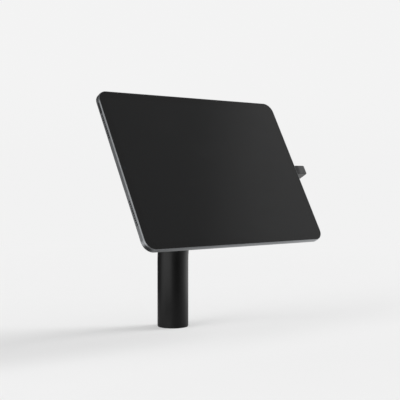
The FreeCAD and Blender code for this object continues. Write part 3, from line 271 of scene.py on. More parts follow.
class Shader:
    """A node tree under construction, for a material or for the world."""

    def __init__(self, owner: bpy.types.Material | bpy.types.World) -> None:
        """Clear the owner's nodes.

        Args:
            owner: The material or world to write nodes into.
        """
        owner.use_nodes = True
        self.owner = owner
        self.tree = owner.node_tree
        self.tree.nodes.clear()

    def add(
        self, kind: str, settings: dict[str, Any] | None = None,
        inputs: dict[int | str, Any] | None = None, output: int | str = 0,
    ) -> Signal:
        """Add a node, set it up and feed its sockets.

        Args:
            kind: The node's type.
            settings: Its settings, set before its sockets.
            inputs: A number, colour, vector or signal for each socket, by name or place.
            output: The socket to return.

        Returns:
            The chosen output.
        """
        node = self.tree.nodes.new(kind)
        for name, value in (settings or {}).items():
            setattr(node, name, value)
        for place, value in (inputs or {}).items():
            if isinstance(value, Signal):
                self.tree.links.new(value.socket, node.inputs[place])
            else:
                node.inputs[place].default_value = value
        return Signal(self, node.outputs[output])

    def finish(self, shading: Signal) -> None:
        """Send the finished shading to the owner's surface.

        Args:
            shading: The shading of a material or of the world.
        """
        is_world = isinstance(self.owner, bpy.types.World)
        output = self.tree.nodes.new("ShaderNodeOutputWorld" if is_world else "ShaderNodeOutputMaterial")
        self.tree.links.new(shading.socket, output.inputs["Surface"])

    def place(self, where: Frame = Frame.STAND) -> Signal:
        """Find the point on the surface, in metres.

        Args:
            where: The frame to give it in.

        Returns:
            The point.
        """
        point = self.add("ShaderNodeTexCoord", output="Object")
        if where is Frame.STAND:
            return point
        from_head = self.offset(point, -HEAD.origin)
        along = [self.dot(from_head, axis) for axis in (HEAD.across, HEAD.up, HEAD.out)]
        return self.add("ShaderNodeCombineXYZ", inputs=dict(enumerate(along)))

    def _vector(self, operation: str, *terms: Signal | Vector | Point, output: str = "Vector") -> Signal:
        """Add one Vector Math node over the given terms."""
        return self.add("ShaderNodeVectorMath", {"operation": operation}, dict(enumerate(terms)), output)

    def offset(self, vector: Signal, shift: Vector) -> Signal:
        """Shift a vector by a fixed amount."""
        return self._vector("ADD", vector, shift)

    def stretch(self, vector: Signal, scale: Point) -> Signal:
        """Scale a vector along each axis."""
        return self._vector("MULTIPLY", vector, scale)

    def unit(self, vector: Signal) -> Signal:
        """Keep a vector's direction and make its length 1."""
        return self._vector("NORMALIZE", vector)

    def dot(self, vector: Signal, axis: Vector | Point) -> Signal:
        """Measure a vector along a fixed axis."""
        return self._vector("DOT_PRODUCT", vector, axis, output="Value")

    def span(self, vector: Signal) -> Signal:
        """Measure a vector's length."""
        return self._vector("LENGTH", vector, output="Value")

    def distance(self, point: Signal, node: str) -> Signal:
        """Measure how far a point in the head's frame is from a CAD node's middle, seen from the front.

        Args:
            point: The point on the surface.
            node: The node's name.

        Returns:
            The distance in metres.
        """
        centre = HEAD.centre(node)
        return self.span(self.offset(self.stretch(point, FLAT), Vector((-centre.x, -centre.y, 0.0))))

    def noise(self, vector: Signal, grain: float, detail: float) -> Signal:
        """Return noise from 0 to 1 whose patches are about one grain across."""
        return self.add("ShaderNodeTexNoise", inputs={"Vector": vector, "Scale": 1 / grain, "Detail": detail})

    def cells(self, vector: Signal, grain: float) -> Signal:
        """Return each point's distance from the nearest of the cells' centres."""
        inputs = {"Vector": vector, "Scale": 1 / grain}
        return self.add("ShaderNodeTexVoronoi", inputs=inputs, output="Distance")

    def mix(self, mask: Signal, first: Signal | Colour, second: Signal | Colour) -> Signal:
        """Blend two colours by a mask."""
        return self.add(
            "ShaderNodeMix", {"data_type": "RGBA"},
            {MIX_FACTOR: mask, MIX_FIRST: first, MIX_SECOND: second}, MIX_COLOUR,
        )

    def bump(self, height: Signal, depth: float) -> Signal:
        """Turn a height from 0 to 1 into a normal.

        Args:
            height: The relief.
            depth: Its full height in metres.

        Returns:
            The bent normal.
        """
        return self.add("ShaderNodeBump", inputs={"Height": height, "Distance": depth, "Strength": 1.0})

    def ray(self, kind: Ray) -> Signal:
        """Return 1 for one kind of ray and 0 for any other."""
        return self.add("ShaderNodeLightPath", output=kind.value)

    def blend(self, share: Signal, first: Signal, second: Signal) -> Signal:
        """Blend two shadings by the second one's share."""
        return self.add("ShaderNodeMixShader", inputs={0: share, 1: first, 2: second})


@dataclass(frozen=True)
class Finish:
    """A surface with two shades in soft patches, an uneven gloss and a fine relief.

    Attributes:
        dark: Its darker shade.
        light: Its lighter shade.
        gloss: Its roughness where its pattern is 0 and where it is 1.
        metallic: How far it reflects as a metal, from 0 to 1.
        specular: How strongly it reflects when seen head on.
        patch: The size of its soft patches.
        grain: The size of its fine grain.
        relief: The height of its relief.
        brushed: How much the pattern is squeezed along each axis.
        where: The frame that the pattern is drawn in.
        patch_share: How much of the shade comes from the patches, the rest being grain.
        shade_rise: Where the noise turns from the darker shade to the lighter one.
        gloss_rise: Where the sum of both noises turns from glossy to rough.
    """

    dark: Colour
    light: Colour
    gloss: Span = (0.4, 0.5)
    metallic: float = 0.0
    specular: float = 0.5
    patch: float = 0.02
    grain: float = 0.0006
    relief: float = 0.00001
    brushed: Point = (1.0, 1.0, 1.0)
    where: Frame = Frame.HEAD
    patch_share: float = 0.7
    shade_rise: Span = (0.3, 0.7)
    gloss_rise: Span = (0.5, 1.5)

    def build(self, title: str) -> bpy.types.Material:
        """Make the material.

        Args:
            title: The material's name.

        Returns:
            The finished material.
        """
        shader = Shader(bpy.data.materials.new(title))
        point = shader.stretch(shader.place(self.where), self.brushed)
        colour, roughness, height = self.pattern(shader, point)
        shader.finish(shader.add("ShaderNodeBsdfPrincipled", inputs={
            "Base Color": colour, "Roughness": roughness, "Normal": shader.bump(height, self.relief),
            **self.constants(),
        }))
        return shader.owner

    def constants(self) -> dict[str, float]:
        """Return the values that are the same all over the surface, by socket."""
        return {"Metallic": self.metallic, "Specular IOR Level": self.specular}

    def pattern(self, shader: Shader, point: Signal) -> tuple[Signal, Signal, Signal]:
        """Draw the soft patches and the grain.

        Args:
            shader: The tree to draw in.
            point: The point on the surface.

        Returns:
            The colour, the roughness and the height of the relief.
        """
        patches = shader.noise(point, self.patch, detail=3.0)
        grain = shader.noise(point, self.grain, detail=2.0)
        shade = (patches * self.patch_share + grain * (1 - self.patch_share)).rise(*self.shade_rise)
        roughness = self.roughness((patches + grain).rise(*self.gloss_rise))
        return shader.mix(shade, self.dark, self.light), roughness, self.height(shader, point, grain)

    def height(self, shader: Shader, point: Signal, grain: Signal) -> Signal:
        """Return the height of the relief, which is the grain itself on a plain finish."""
        return grain

    def roughness(self, mask: Signal) -> Signal:
        """Turn a mask from 0 to 1 into the roughness."""
        start, end = self.gloss
        return start + mask * (end - start)


@dataclass(frozen=True)
class Metal(Finish):
    """A bare metal with a very fine relief."""

    metallic: float = 1.0
    relief: float = 0.000003


@dataclass(frozen=True)
class CellFinish(Finish):
    """A surface whose relief is packed cells, such as foam, moulded texture or orange peel.

    Attributes:
        wander: The size of the slow unevenness, in grains.
        cell_height: The share of the relief that the cells have.
        wander_height: The share of the relief that the unevenness has.
    """

    wander: float = 3.0
    cell_height: float = 0.8
    wander_height: float = 0.4

    def height(self, shader: Shader, point: Signal, grain: Signal) -> Signal:
        """Return the height of the cells and of their slow unevenness."""
        wander = shader.noise(point, self.grain * self.wander, detail=1.0)
        return shader.cells(point, self.grain) * self.cell_height + wander * self.wander_height


@dataclass(frozen=True)
class CoverGlass(Finish):
    """Black cover glass: clear picture area, printed border, ground rim and a front camera's window.

    Attributes:
        rim: Where the ground rim is full and where it has ended, inwards from the glass's edge.
        rim_roughness: How much rougher the rim is.
        seam: How soft the picture area's edge is.
        window: Where the camera's window ends and the border is full, outwards from its middle.
        window_shade: The window's colour.
        window_gloss: How much smoother the window is.
        smear: How much the faint smears are squeezed along each axis.
        smear_rise: Where the noise turns into a smear.
    """

    rim: Span = (0.00045, 0.0009)
    rim_roughness: float = 0.35
    seam: float = 0.0002
    window: Span = (0.00153, 0.00187)
    window_shade: Colour = grey(0.005, -0.3)
    window_gloss: float = 0.03
    smear: Point = (1.0, 2.5, 1.0)
    smear_rise: Span = (0.4, 0.75)

    def pattern(self, shader: Shader, point: Signal) -> tuple[Signal, Signal, Signal]:
        """Draw the border, the rim, the camera's window and faint smears.

        Args:
            shader: The tree to draw in.
            point: The point on the surface.

        Returns:
            The colour, the roughness and the height of the relief.
        """
        rim = 1 - self.inset(shader, point, "front_glass").rise(*self.rim)
        picture = self.inset(shader, point, "display_module").rise(-self.seam, self.seam)
        window = 1 - shader.distance(point, "front_camera").rise(*self.window)
        smears = shader.noise(shader.stretch(point, self.smear), self.patch, detail=4.0)
        colour = shader.mix(window, shader.mix(picture, self.dark, self.light), self.window_shade)
        roughness = self.roughness(smears.rise(*self.smear_rise))
        roughness = roughness + rim * self.rim_roughness - window * self.window_gloss
        return colour, roughness, shader.noise(point, self.grain, detail=1.0)

    def inset(self, shader: Shader, point: Signal, node: str) -> Signal:
        """Measure how far a point lies inside a CAD node's outline, seen from the front.

        Args:
            shader: The tree to draw in.
            point: The point on the surface.
            node: The node's name.

        Returns:
            The distance in metres, below 0 outside.
        """
        corner = HEAD.reach(node)[1]
        across = shader.dot(point, X_AXIS).unsigned()
        upward = shader.dot(point, Y_AXIS).unsigned()
        return (corner.x - across).smallest(corner.y - upward)


@dataclass(frozen=True)
class CircuitBoard(Finish):
    """Solder mask over a grid of fine traces and pads.

    Attributes:
        trace: The distance between traces.
        wander: How far a coarse noise bends the traces, in radians of their pattern.
        trace_rise: Where the wave turns from bare mask to trace.
        pad_rise: Where the crossing waves turn to a pad.
        pad_shade: The pads' colour.
    """

    trace: float = 0.0009
    wander: float = 9.0
    trace_rise: Span = (0.55, 0.8)
    pad_rise: Span = (0.72, 0.85)
    pad_shade: Colour = grey(0.45, 0.3)

    def pattern(self, shader: Shader, point: Signal) -> tuple[Signal, Signal, Signal]:
        """Draw traces as thin bands that wander, with pads along them.

        Args:
            shader: The tree to draw in.
            point: The point on the surface.

        Returns:
            The colour, the roughness and the height of the relief.
        """
        turns = 2 * math.pi / self.trace
        bend = shader.noise(point, self.patch, detail=0.0) * self.wander
        across = (shader.dot(point, X_AXIS) * turns + bend).wave()
        along = (shader.dot(point, Y_AXIS) * turns).wave()
        trace = across.rise(*self.trace_rise)
        pad = (across * along).rise(*self.pad_rise)
        colour = shader.mix(pad, shader.mix(trace, self.dark, self.light), self.pad_shade)
        return colour, self.roughness(pad), trace


@dataclass(frozen=True)
class ClearGlass(Finish):
    """Clear glass with faint smears.

    Attributes:
        refraction: Its index of refraction.
    """

    refraction: float = 1.5

    def constants(self) -> dict[str, float]:
        """Return the values that let all light through, by socket."""
        return {"Transmission Weight": 1.0, "IOR": self.refraction}


@dataclass(frozen=True)
class RingedLens(Finish):
    """A small lens with fine rings round the middle of a CAD node.

    Attributes:
        node: The node's name.
        pitch: The distance between rings.
        ring_rise: Where the wave turns from the darker shade to the lighter one.
    """

    node: str = "flash_lens"
    pitch: float = 0.0006
    ring_rise: Span = (0.2, 0.9)

    def pattern(self, shader: Shader, point: Signal) -> tuple[Signal, Signal, Signal]:
        """Draw the rings.

        Args:
            shader: The tree to draw in.
            point: The point on the surface.

        Returns:
            The colour, the roughness and the height of the relief.
        """
        turns = shader.distance(point, self.node) * (2 * math.pi / self.pitch)
        rings = (turns.wave() + 1) * 0.5
        colour = shader.mix(rings.rise(*self.ring_rise), self.dark, self.light)
        return colour, self.roughness(rings), rings


@unique
class Paint(Enum):
    """Every finish of the stand, most of them named after the record's material slots."""

    powder_black = CellFinish(
        grey(0.0008, -0.01), grey(0.0016, -0.02), gloss=(0.28, 0.34), specular=0.63, patch=0.03,
        grain=0.0007, relief=0.000006, where=Frame.STAND)
    gasket_rubber = Finish(
        grey(0.01), grey(0.02), gloss=(0.7, 0.85), specular=0.3, patch=0.004, grain=0.0003, where=Frame.STAND)
    zinc_steel = Metal(
        grey(0.42, 0.02), grey(0.6, -0.01), gloss=(0.22, 0.4), patch=0.006, grain=0.0004,
        brushed=(1.0, 1.0, 9.0))
    screw_steel = Metal(
        grey(0.05), grey(0.11, 0.02), gloss=(0.28, 0.45), patch=0.002, grain=0.0003, relief=0.000004,
        where=Frame.STAND)
    spring_steel = Metal(
        grey(0.25, 0.05), grey(0.42, 0.02), gloss=(0.25, 0.4), patch=0.004, grain=0.0003)
    bush_polymer = Finish(
        grey(0.08), grey(0.14), gloss=(0.5, 0.65), patch=0.003, grain=0.0004, where=Frame.STAND)
    anodised_black = Finish(
        grey(0.016, -0.02), grey(0.026, -0.03), gloss=(0.34, 0.46), metallic=0.5, grain=0.00035,
        relief=0.000006)
    pad_foam = CellFinish(
        grey(0.015), grey(0.03), gloss=(0.8, 0.95), patch=0.006, grain=0.0008, relief=0.0001)
    cover_plastic = CellFinish(
        grey(0.012, -0.02), grey(0.02, -0.02), gloss=(0.45, 0.6), patch=0.03, grain=0.0009, relief=0.00002)
    pod_plastic = CellFinish(
        grey(0.06, -0.01), grey(0.074, -0.01), gloss=(0.3, 0.38), specular=0.22, patch=0.008,
        relief=0.000012)
    circuit_board = CircuitBoard(
        (0.006, 0.045, 0.022, 1.0), (0.012, 0.09, 0.045, 1.0), gloss=(0.35, 0.25), patch=0.01,
        relief=0.00003)
    plug_steel = Metal(
        grey(0.5), grey(0.66, 0.01), gloss=(0.2, 0.32), patch=0.004, grain=0.0003,
        brushed=(6.0, 1.0, 1.0))
    tablet_metal = Metal(
        grey(0.48, -0.03), grey(0.56, -0.03), gloss=(0.27, 0.36), patch=0.03, grain=0.00025,
        relief=0.000004)
    screen_glass = CoverGlass(
        grey(0.002, -0.03), grey(0.0028, -0.06), gloss=(0.07, 0.13), patch=0.05, grain=0.01, relief=0.0)
    display_panel = Finish(grey(0.006), grey(0.012), gloss=(0.25, 0.4), patch=0.01)
    battery_foil = Finish(
        grey(0.012), grey(0.03), gloss=(0.3, 0.5), patch=0.012, grain=0.002, relief=0.00008)
    camera_glass = ClearGlass(
        grey(0.85, -0.02), grey(0.95, -0.01), gloss=(0.01, 0.04), patch=0.004, grain=0.001, relief=0.0)
    coated_glass = Finish(
        (0.006, 0.008, 0.02, 1.0), (0.014, 0.01, 0.028, 1.0), gloss=(0.03, 0.07), specular=0.9,
        patch=0.003, grain=0.0008, relief=0.0)
    optics_black = Finish(
        grey(0.006), grey(0.012), gloss=(0.4, 0.55), patch=0.002, grain=0.0002, relief=0.000004)
    flash_glass = RingedLens(grey(0.32, 0.12), grey(0.55, 0.06), gloss=(0.12, 0.25), relief=0.00006)
    mesh_steel = Metal(
        grey(0.03), grey(0.07, 0.02), gloss=(0.35, 0.5), patch=0.001, grain=0.0002, relief=0.000002)
    contact_gold = Metal(
        (0.62, 0.4, 0.13, 1.0), (0.8, 0.55, 0.22, 1.0), gloss=(0.18, 0.3), patch=0.001, grain=0.0002,
        relief=0.000002)
    button_metal = Metal(
        grey(0.18, -0.03), grey(0.24, -0.03), gloss=(0.2, 0.3), patch=0.006, grain=0.00025)

    def material(self) -> bpy.types.Material:
        """Make the finish's material the first time and find it after that."""
        title = f"{self.name}_finish"
        return bpy.data.materials.get(title) or self.value.build(title)


def paint(piece: bpy.types.Object, finish: Paint) -> None:
    """Give every face of a piece one finish.

    Args:
        piece: The piece, with or without material slots.
        finish: Its finish.
    """
    slots = piece.data.materials
    for place in range(len(slots)):
        slots[place] = finish.material()
    if not slots:
        slots.append(finish.material())


def paint_nodes(nodes: dict[Paint, tuple[str, ...]]) -> None:
    """Paint CAD nodes by finish.

    Args:
        nodes: The nodes' names for each finish.
    """
    for finish, names in nodes.items():
        for name in names:
            paint(frame["nodes"][name], finish)
            log.info("%s is finished as %s", name, finish.name)


class Maker:
    """A mesh under construction, which becomes one piece of the stand."""

    def __init__(self, where: Frame = Frame.HEAD) -> None:
        """Start an empty mesh.

        Args:
            where: The frame that its coordinates are given in.
        """
        self.mesh = bmesh.new()
        self.matrix = HEAD.matrix() if where is Frame.HEAD else Matrix.Identity(4)

    def lathe(self, centre: Point, profile: list[Spot], segments: int = 72) -> None:
        """Turn a profile about the head's out axis.

        Args:
            centre: A point on the axis of the turned form.
            profile: Radius and height of each point; a radius of 0 is a pole.
            segments: How many steps one turn has.
        """
        rings = []
        for radius, level in profile:
            outline = circle(radius, centre[0], centre[1], segments) if radius else [centre[:2]]
            rings.append([self.mesh.verts.new((*place, centre[2] + level)) for place in outline])
        for lower, upper in zip(rings, rings[1:]):
            for index in range(segments):
                corners = [ring[(index + step) % len(ring)] for ring, step in (
                    (lower, 0), (lower, 1), (upper, 1), (upper, 0))]
                self.mesh.faces.new(list(dict.fromkeys(corners)))

    def slab(self, outlines: list[Outline], low: float, high: float, soft: float = 0.0,
             turn: Matrix = AS_DRAWN) -> None:
        """Add a flat form with rounded rims.

        Args:
            outlines: Its outer outline and its holes.
            low: Where it starts along the outlines' normal.
            high: Where it ends.
            soft: The radius of its rims.
            turn: How the outlines' plane lies in the maker's frame.
        """
        curve = bpy.data.curves.new("outline", "CURVE")
        curve.dimensions = "2D"
        curve.fill_mode = "BOTH"
        curve.extrude = (high - low) / 2 - soft
        curve.bevel_depth = soft
        curve.bevel_resolution = RIM_STEPS
        curve.offset = -soft
        for outline in outlines:
            spline = curve.splines.new("POLY")
            spline.points.add(len(outline) - 1)
            for point, place in zip(spline.points, outline):
                point.co = (*place, 0.0, 1.0)
            spline.use_cyclic_u = True
        holder = bpy.data.objects.new("outline", curve)
        mesh = bpy.data.meshes.new_from_object(holder)
        mesh.transform(turn @ Matrix.Translation((0.0, 0.0, (low + high) / 2)))
        self.mesh.from_mesh(mesh)
        bpy.data.objects.remove(holder)
        bpy.data.curves.remove(curve)
        bpy.data.meshes.remove(mesh)

    def wire(self, start: Point, end: Point, radius: float, sides: int = 6) -> None:
        """Add a straight round wire.

        Args:
            start: The middle of one end.
            end: The middle of the other end.
            radius: The wire's radius.
            sides: How many sides its section has.
        """
        first, last = Vector(start), Vector(end)
        turn = (last - first).to_track_quat("Z", "Y").to_matrix().to_4x4()
        bmesh.ops.create_cone(
            self.mesh, cap_ends=True, segments=sides, radius1=radius, radius2=radius,
            depth=(last - first).length, matrix=Matrix.Translation((first + last) / 2) @ turn)

    def piece(self, name: str, body: str, slot: str, finish: Paint, replaced: tuple[str, ...] = ()) -> None:
        """Finish the mesh as a piece that rides on a body.

        Args:
            name: The piece's name.
            body: The CAD body that carries it.
            slot: The record's material slot; not used.
            finish: Its finish.
            replaced: The CAD nodes that it stands for.
        """
        bmesh.ops.remove_doubles(self.mesh, verts=self.mesh.verts, dist=WELD)
        bmesh.ops.recalc_face_normals(self.mesh, faces=self.mesh.faces)
        mesh = bpy.data.meshes.new(name)
        self.mesh.to_mesh(mesh)
        self.mesh.free()
        mesh.transform(self.matrix)
        mesh.shade_smooth()
        mesh.set_sharp_from_angle(angle=math.radians(SHARP_ANGLE))
        made = bpy.data.objects.new(name, mesh)
        bpy.context.scene.collection.objects.link(made)
        paint(made, finish)
        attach(made, body)
        if replaced:
            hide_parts(*replaced)
        log.info("%s rides on %s", name, body)


@dataclass
class Column:
    """The fixed column with its foot, its end fitting and its bearing.

    Attributes:
        body: The CAD body that its pieces ride on.
        cable_bore: The bore for the cable through the foot.
        bolt_circle: The circle that the bolts from below stand on.
        bolt_hole: The seal's holes for the bolts.
        bolts: How many bolts there are.
        first_bolt: Where the first bolt stands on its circle.
        hole_points: How many points a bolt's hole has.
        seal_soft: The radius of the seal's rims.
    """

    body: str = "column"
    cable_bore: float = 0.014
    bolt_circle: float = 0.022
    bolt_hole: float = 0.0065
    bolts: int = 3
    first_bolt: float = -90.0
    hole_points: int = 32
    seal_soft: float = 0.0003

    def build(self) -> None:
        """Make the column's own pieces and paint it."""
        self.foot_seal()
        self.dress()

    def foot_seal(self) -> None:
        """Make the rubber ring under the foot, whose rims are rounded by the load."""
        low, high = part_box("foot_gasket")
        outlines = [circle((high[0] - low[0]) / 2), circle(self.cable_bore / 2)]
        for index in range(self.bolts):
            turn = math.radians(self.first_bolt) + 2 * math.pi * index / self.bolts
            across = self.bolt_circle / 2 * math.cos(turn)
            along = self.bolt_circle / 2 * math.sin(turn)
            outlines.append(circle(self.bolt_hole / 2, across, along, self.hole_points))
        ring = Maker(Frame.STAND)
        ring.slab(outlines, low[2], high[2], self.seal_soft)
        ring.piece("foot_seal", self.body, "gasket_rubber", Paint.gasket_rubber, ("foot_gasket",))

    def dress(self) -> None:
        """Paint the column's pieces."""
        paint_nodes({
            Paint.powder_black: ("column_tube", "head_plug"),
            Paint.zinc_steel: ("foot_anchor",),
            Paint.screw_steel: ("anchor_screws", "stop_pin"),
            Paint.bush_polymer: ("spindle_bushes",),
        })


@dataclass
class Head:
    """The turning head: spindle, plate, pad and cover.

    Attributes:
        body: The CAD body that its pieces ride on.
        pad_corner: The radius of the pad's corners.
        pad_soft: The radius of the pad's rims.
        channel_gap: The gap between the pad and the arm.
    """

    body: str = "head"
    pad_corner: float = 0.01
    pad_soft: float = 0.0003
    channel_gap: float = 0.001

    def build(self) -> None:
        """Make the head's own pieces and paint it."""
        self.bonding_pad()
        self.dress()

    def bonding_pad(self) -> None:
        """Make the foam pad between plate and tablet, notched over the arm's channel."""
        low, high = HEAD.reach("tablet_pad")
        arm_low, arm_high = HEAD.reach("security_arm")
        start, notch = arm_low.x - self.channel_gap, arm_high.y + self.channel_gap
        foam = Maker()
        foam.slab([rounded([
            (low.x, low.y, self.pad_corner), (high.x, low.y, self.pad_corner), (high.x, -notch, 0.0),
            (start, -notch, 0.0), (start, notch, 0.0), (high.x, notch, 0.0),
            (high.x, high.y, self.pad_corner), (low.x, high.y, self.pad_corner),
        ])], low.z, high.z, self.pad_soft)
        foam.piece("bonding_pad", self.body, "pad_foam", Paint.pad_foam, ("tablet_pad",))

    def dress(self) -> None:
        """Paint the head's pieces."""
        paint_nodes({
            Paint.zinc_steel: ("spindle", "spindle_nut"),
            Paint.bush_polymer: ("friction_washer",),
            Paint.spring_steel: ("spring_washers",),
            Paint.anodised_black: ("mount_plate",),
            Paint.screw_steel: ("plate_screws", "cover_screws"),
            Paint.cover_plastic: ("head_cover",),
        })


@dataclass
class Tablet:
    """The tablet and everything inside it.

    Attributes:
        body: The CAD body that its pieces ride on.
        wall: The thickness of the tray's walls.
        mesh_height: The height of a strip of speaker mesh.
        mesh_depth: The depth of its rim.
        mesh_rim: The width and the outer corner radius of its rim.
        mesh_corner: The inner corner radius of its rim.
        mesh_pitch: The distance between its wires.
        mesh_wire: The radius of its wires.
        lens_radii: The camera's mouth, which narrows in steps.
        lens_step: The depth of one such step.
        lens_dome: How far the camera's front element bulges.
        dome_steps: How many rings the bulge has.
        module_corner: The corner radius of the camera's base.
        module_soft: The radius of the base's rims.
        prism_pitch: The distance between the ring prisms of the flash.
        prism_depth: Their depth.
        tongue_width: The width of the port's tongue.
        tongue_height: Its thickness.
        tongue_corner: The radius of its long edges.
        tongue_length: Its length.
        port_floor: How far inside the port's rear face it starts.
    """

    body: str = "head"
    wall: float = 0.0016
    mesh_height: float = 0.0032
    mesh_depth: float = 0.0003
    mesh_rim: float = 0.0004
    mesh_corner: float = 0.0002
    mesh_pitch: float = 0.00045
    mesh_wire: float = 0.00006
    lens_radii: tuple[float, ...] = (0.0044, 0.0038, 0.0032)
    lens_step: float = 0.00035
    lens_dome: float = 0.0006
    dome_steps: int = 10
    module_corner: float = 0.0015
    module_soft: float = 0.0004
    prism_pitch: float = 0.0003
    prism_depth: float = 0.00008
    tongue_width: float = 0.0067
    tongue_height: float = 0.0007
    tongue_corner: float = 0.000175
    tongue_length: float = 0.0044
    port_floor: float = 0.001

    @property
    def middle(self) -> float:
        """Return where the tablet's middle plane lies along the head's out axis."""
        return HEAD.centre("tablet_housing").z

    def build(self) -> None:
        """Make the tablet's own pieces and paint it."""
        self.speaker_mesh()
        self.camera_optics()
        self.camera_element()
        self.flash_prism()
        self.port_tongue()
        self.dress()

    def speaker_mesh(self) -> None:
        """Make the four strips of wire mesh that are stuck to the tray's walls behind the speaker holes."""
        low, high = HEAD.reach("speaker_modules", quarter=True)
        wall = HEAD.reach("tablet_housing")[1].x - self.wall
        for side, hand in ((-1, "left"), (1, "right")):
            for end, level in ((-1, "bottom"), (1, "top")):
                strip = Maker()
                self.weave(strip, sorted((low.y * end, high.y * end)),
                           sorted(((wall - self.mesh_depth) * side, wall * side)))
                strip.piece(f"speaker_mesh_{hand}_{level}", self.body, "screw_steel", Paint.mesh_steel)

    def weave(self, strip: Maker, along: Sequence[float], through: Sequence[float]) -> None:
        """Weave one strip of mesh inside its rim.

        Args:
            strip: The mesh to add to.
            along: Where the strip starts and ends, up the screen.
            through: Where it starts and ends, across the tablet.
        """
        low, high = along
        base, top = self.middle - self.mesh_height / 2, self.middle + self.mesh_height / 2
        rim = self.mesh_rim
        outer = rounded_box((low, base), (high, top), rim)
        inner = rounded_box((low + rim, base + rim), (high - rim, top - rim), self.mesh_corner)
        strip.slab([outer, inner], *through, turn=SIDEWAYS)
        centre = sum(through) / 2
        for place in self.spread(base + rim, top - rim):
            across = centre + self.mesh_wire
            strip.wire((across, low, place), (across, high, place), self.mesh_wire)
        for place in self.spread(low + rim, high - rim):
            across = centre - self.mesh_wire
            strip.wire((across, place, base), (across, place, top), self.mesh_wire)

    def spread(self, start: float, stop: float) -> list[float]:
        """Space the mesh's wires evenly between two ends."""
        count = int((stop - start) / self.mesh_pitch)
        return [start + (stop - start) * index / count for index in range(1, count)]

    def camera_optics(self) -> None:
        """Make the camera's body: a square base and a barrel whose mouth narrows in steps."""
        low, high = HEAD.reach("rear_camera")
        lens_low, lens_high = HEAD.reach("camera_lens")
        centre, radius = (lens_low + lens_high) / 2, (lens_high.x - lens_low.x) / 2
        floor = HEAD.reach("flash_lens")[1].z
        optics = Maker()
        optics.slab([rounded_box(low, high, self.module_corner)], floor, high.z, self.module_soft)
        profile = [(radius, floor - low.z), (radius, 0.0)]
        for index, mouth in enumerate(self.lens_radii):
            profile += [(mouth, index * self.lens_step), (mouth, (index + 1) * self.lens_step)]
        profile.append((0.0, profile[-1][1]))
        optics.lathe((centre.x, centre.y, low.z), profile)
        optics.piece("camera_optics", self.body, "display_panel", Paint.optics_black, ("rear_camera",))

    def camera_element(self) -> None:
        """Make the domed front element at the bottom of the barrel."""
        centre, radius = HEAD.centre("camera_lens"), self.lens_radii[-1]
        depth = len(self.lens_radii) * self.lens_step
        turns = [math.pi / 2 * (1 - step / self.dome_steps) for step in range(self.dome_steps)]
        dome = [(radius * math.sin(turn), depth - self.lens_dome * math.cos(turn)) for turn in turns]
        element = Maker()
        element.lathe((centre.x, centre.y, HEAD.reach("camera_lens")[1].z),
                      [(0.0, depth), *dome, (0.0, depth - self.lens_dome)])
        element.piece("camera_element", self.body, "camera_glass", Paint.coated_glass)

    def flash_prism(self) -> None:
        """Make the flash's lens, whose face has fine ring prisms."""
        low, high = HEAD.reach("flash_lens")
        centre, radius = (low + high) / 2, (high.x - low.x) / 2
        rings = int(radius / self.prism_pitch)
        profile = [(0.0, high.z - low.z), (radius, high.z - low.z), (radius, 0.0)]
        for index in range(rings - 1, 0, -1):
            profile += [(index * self.prism_pitch, 0.0), (index * self.prism_pitch, self.prism_depth)]
        profile.append((0.0, 0.0))
        prism = Maker()
        prism.lathe((centre.x, centre.y, low.z), profile)
        prism.piece("flash_prism", self.body, "camera_glass", Paint.flash_glass, ("flash_lens",))

    def port_tongue(self) -> None:
        """Make the tongue inside the port, which the connector's shell passes over."""
        start = HEAD.reach("charge_port")[0].x + self.port_floor
        place = Vector((0.0, self.middle))
        corner = Vector((self.tongue_width, self.tongue_height)) / 2
        section = rounded_box(place - corner, place + corner, self.tongue_corner)
        tongue = Maker()
        tongue.slab([section], start, start + self.tongue_length, turn=SIDEWAYS)
        tongue.piece("port_tongue", self.body, "bush_polymer", Paint.bush_polymer)

    def dress(self) -> None:
        """Paint the tablet's pieces."""
        paint_nodes({
            Paint.tablet_metal: ("tablet_housing", "camera_ring"),
            Paint.screen_glass: ("front_glass",),
            Paint.display_panel: ("display_module", "front_camera"),
            Paint.battery_foil: ("battery_cells",),
            Paint.circuit_board: ("logic_board",),
            Paint.bush_polymer: ("speaker_modules", "button_switches"),
            Paint.plug_steel: ("charge_port",),
            Paint.camera_glass: ("camera_lens",),
            Paint.button_metal: ("power_button", "volume_up_button", "volume_down_button"),
        })


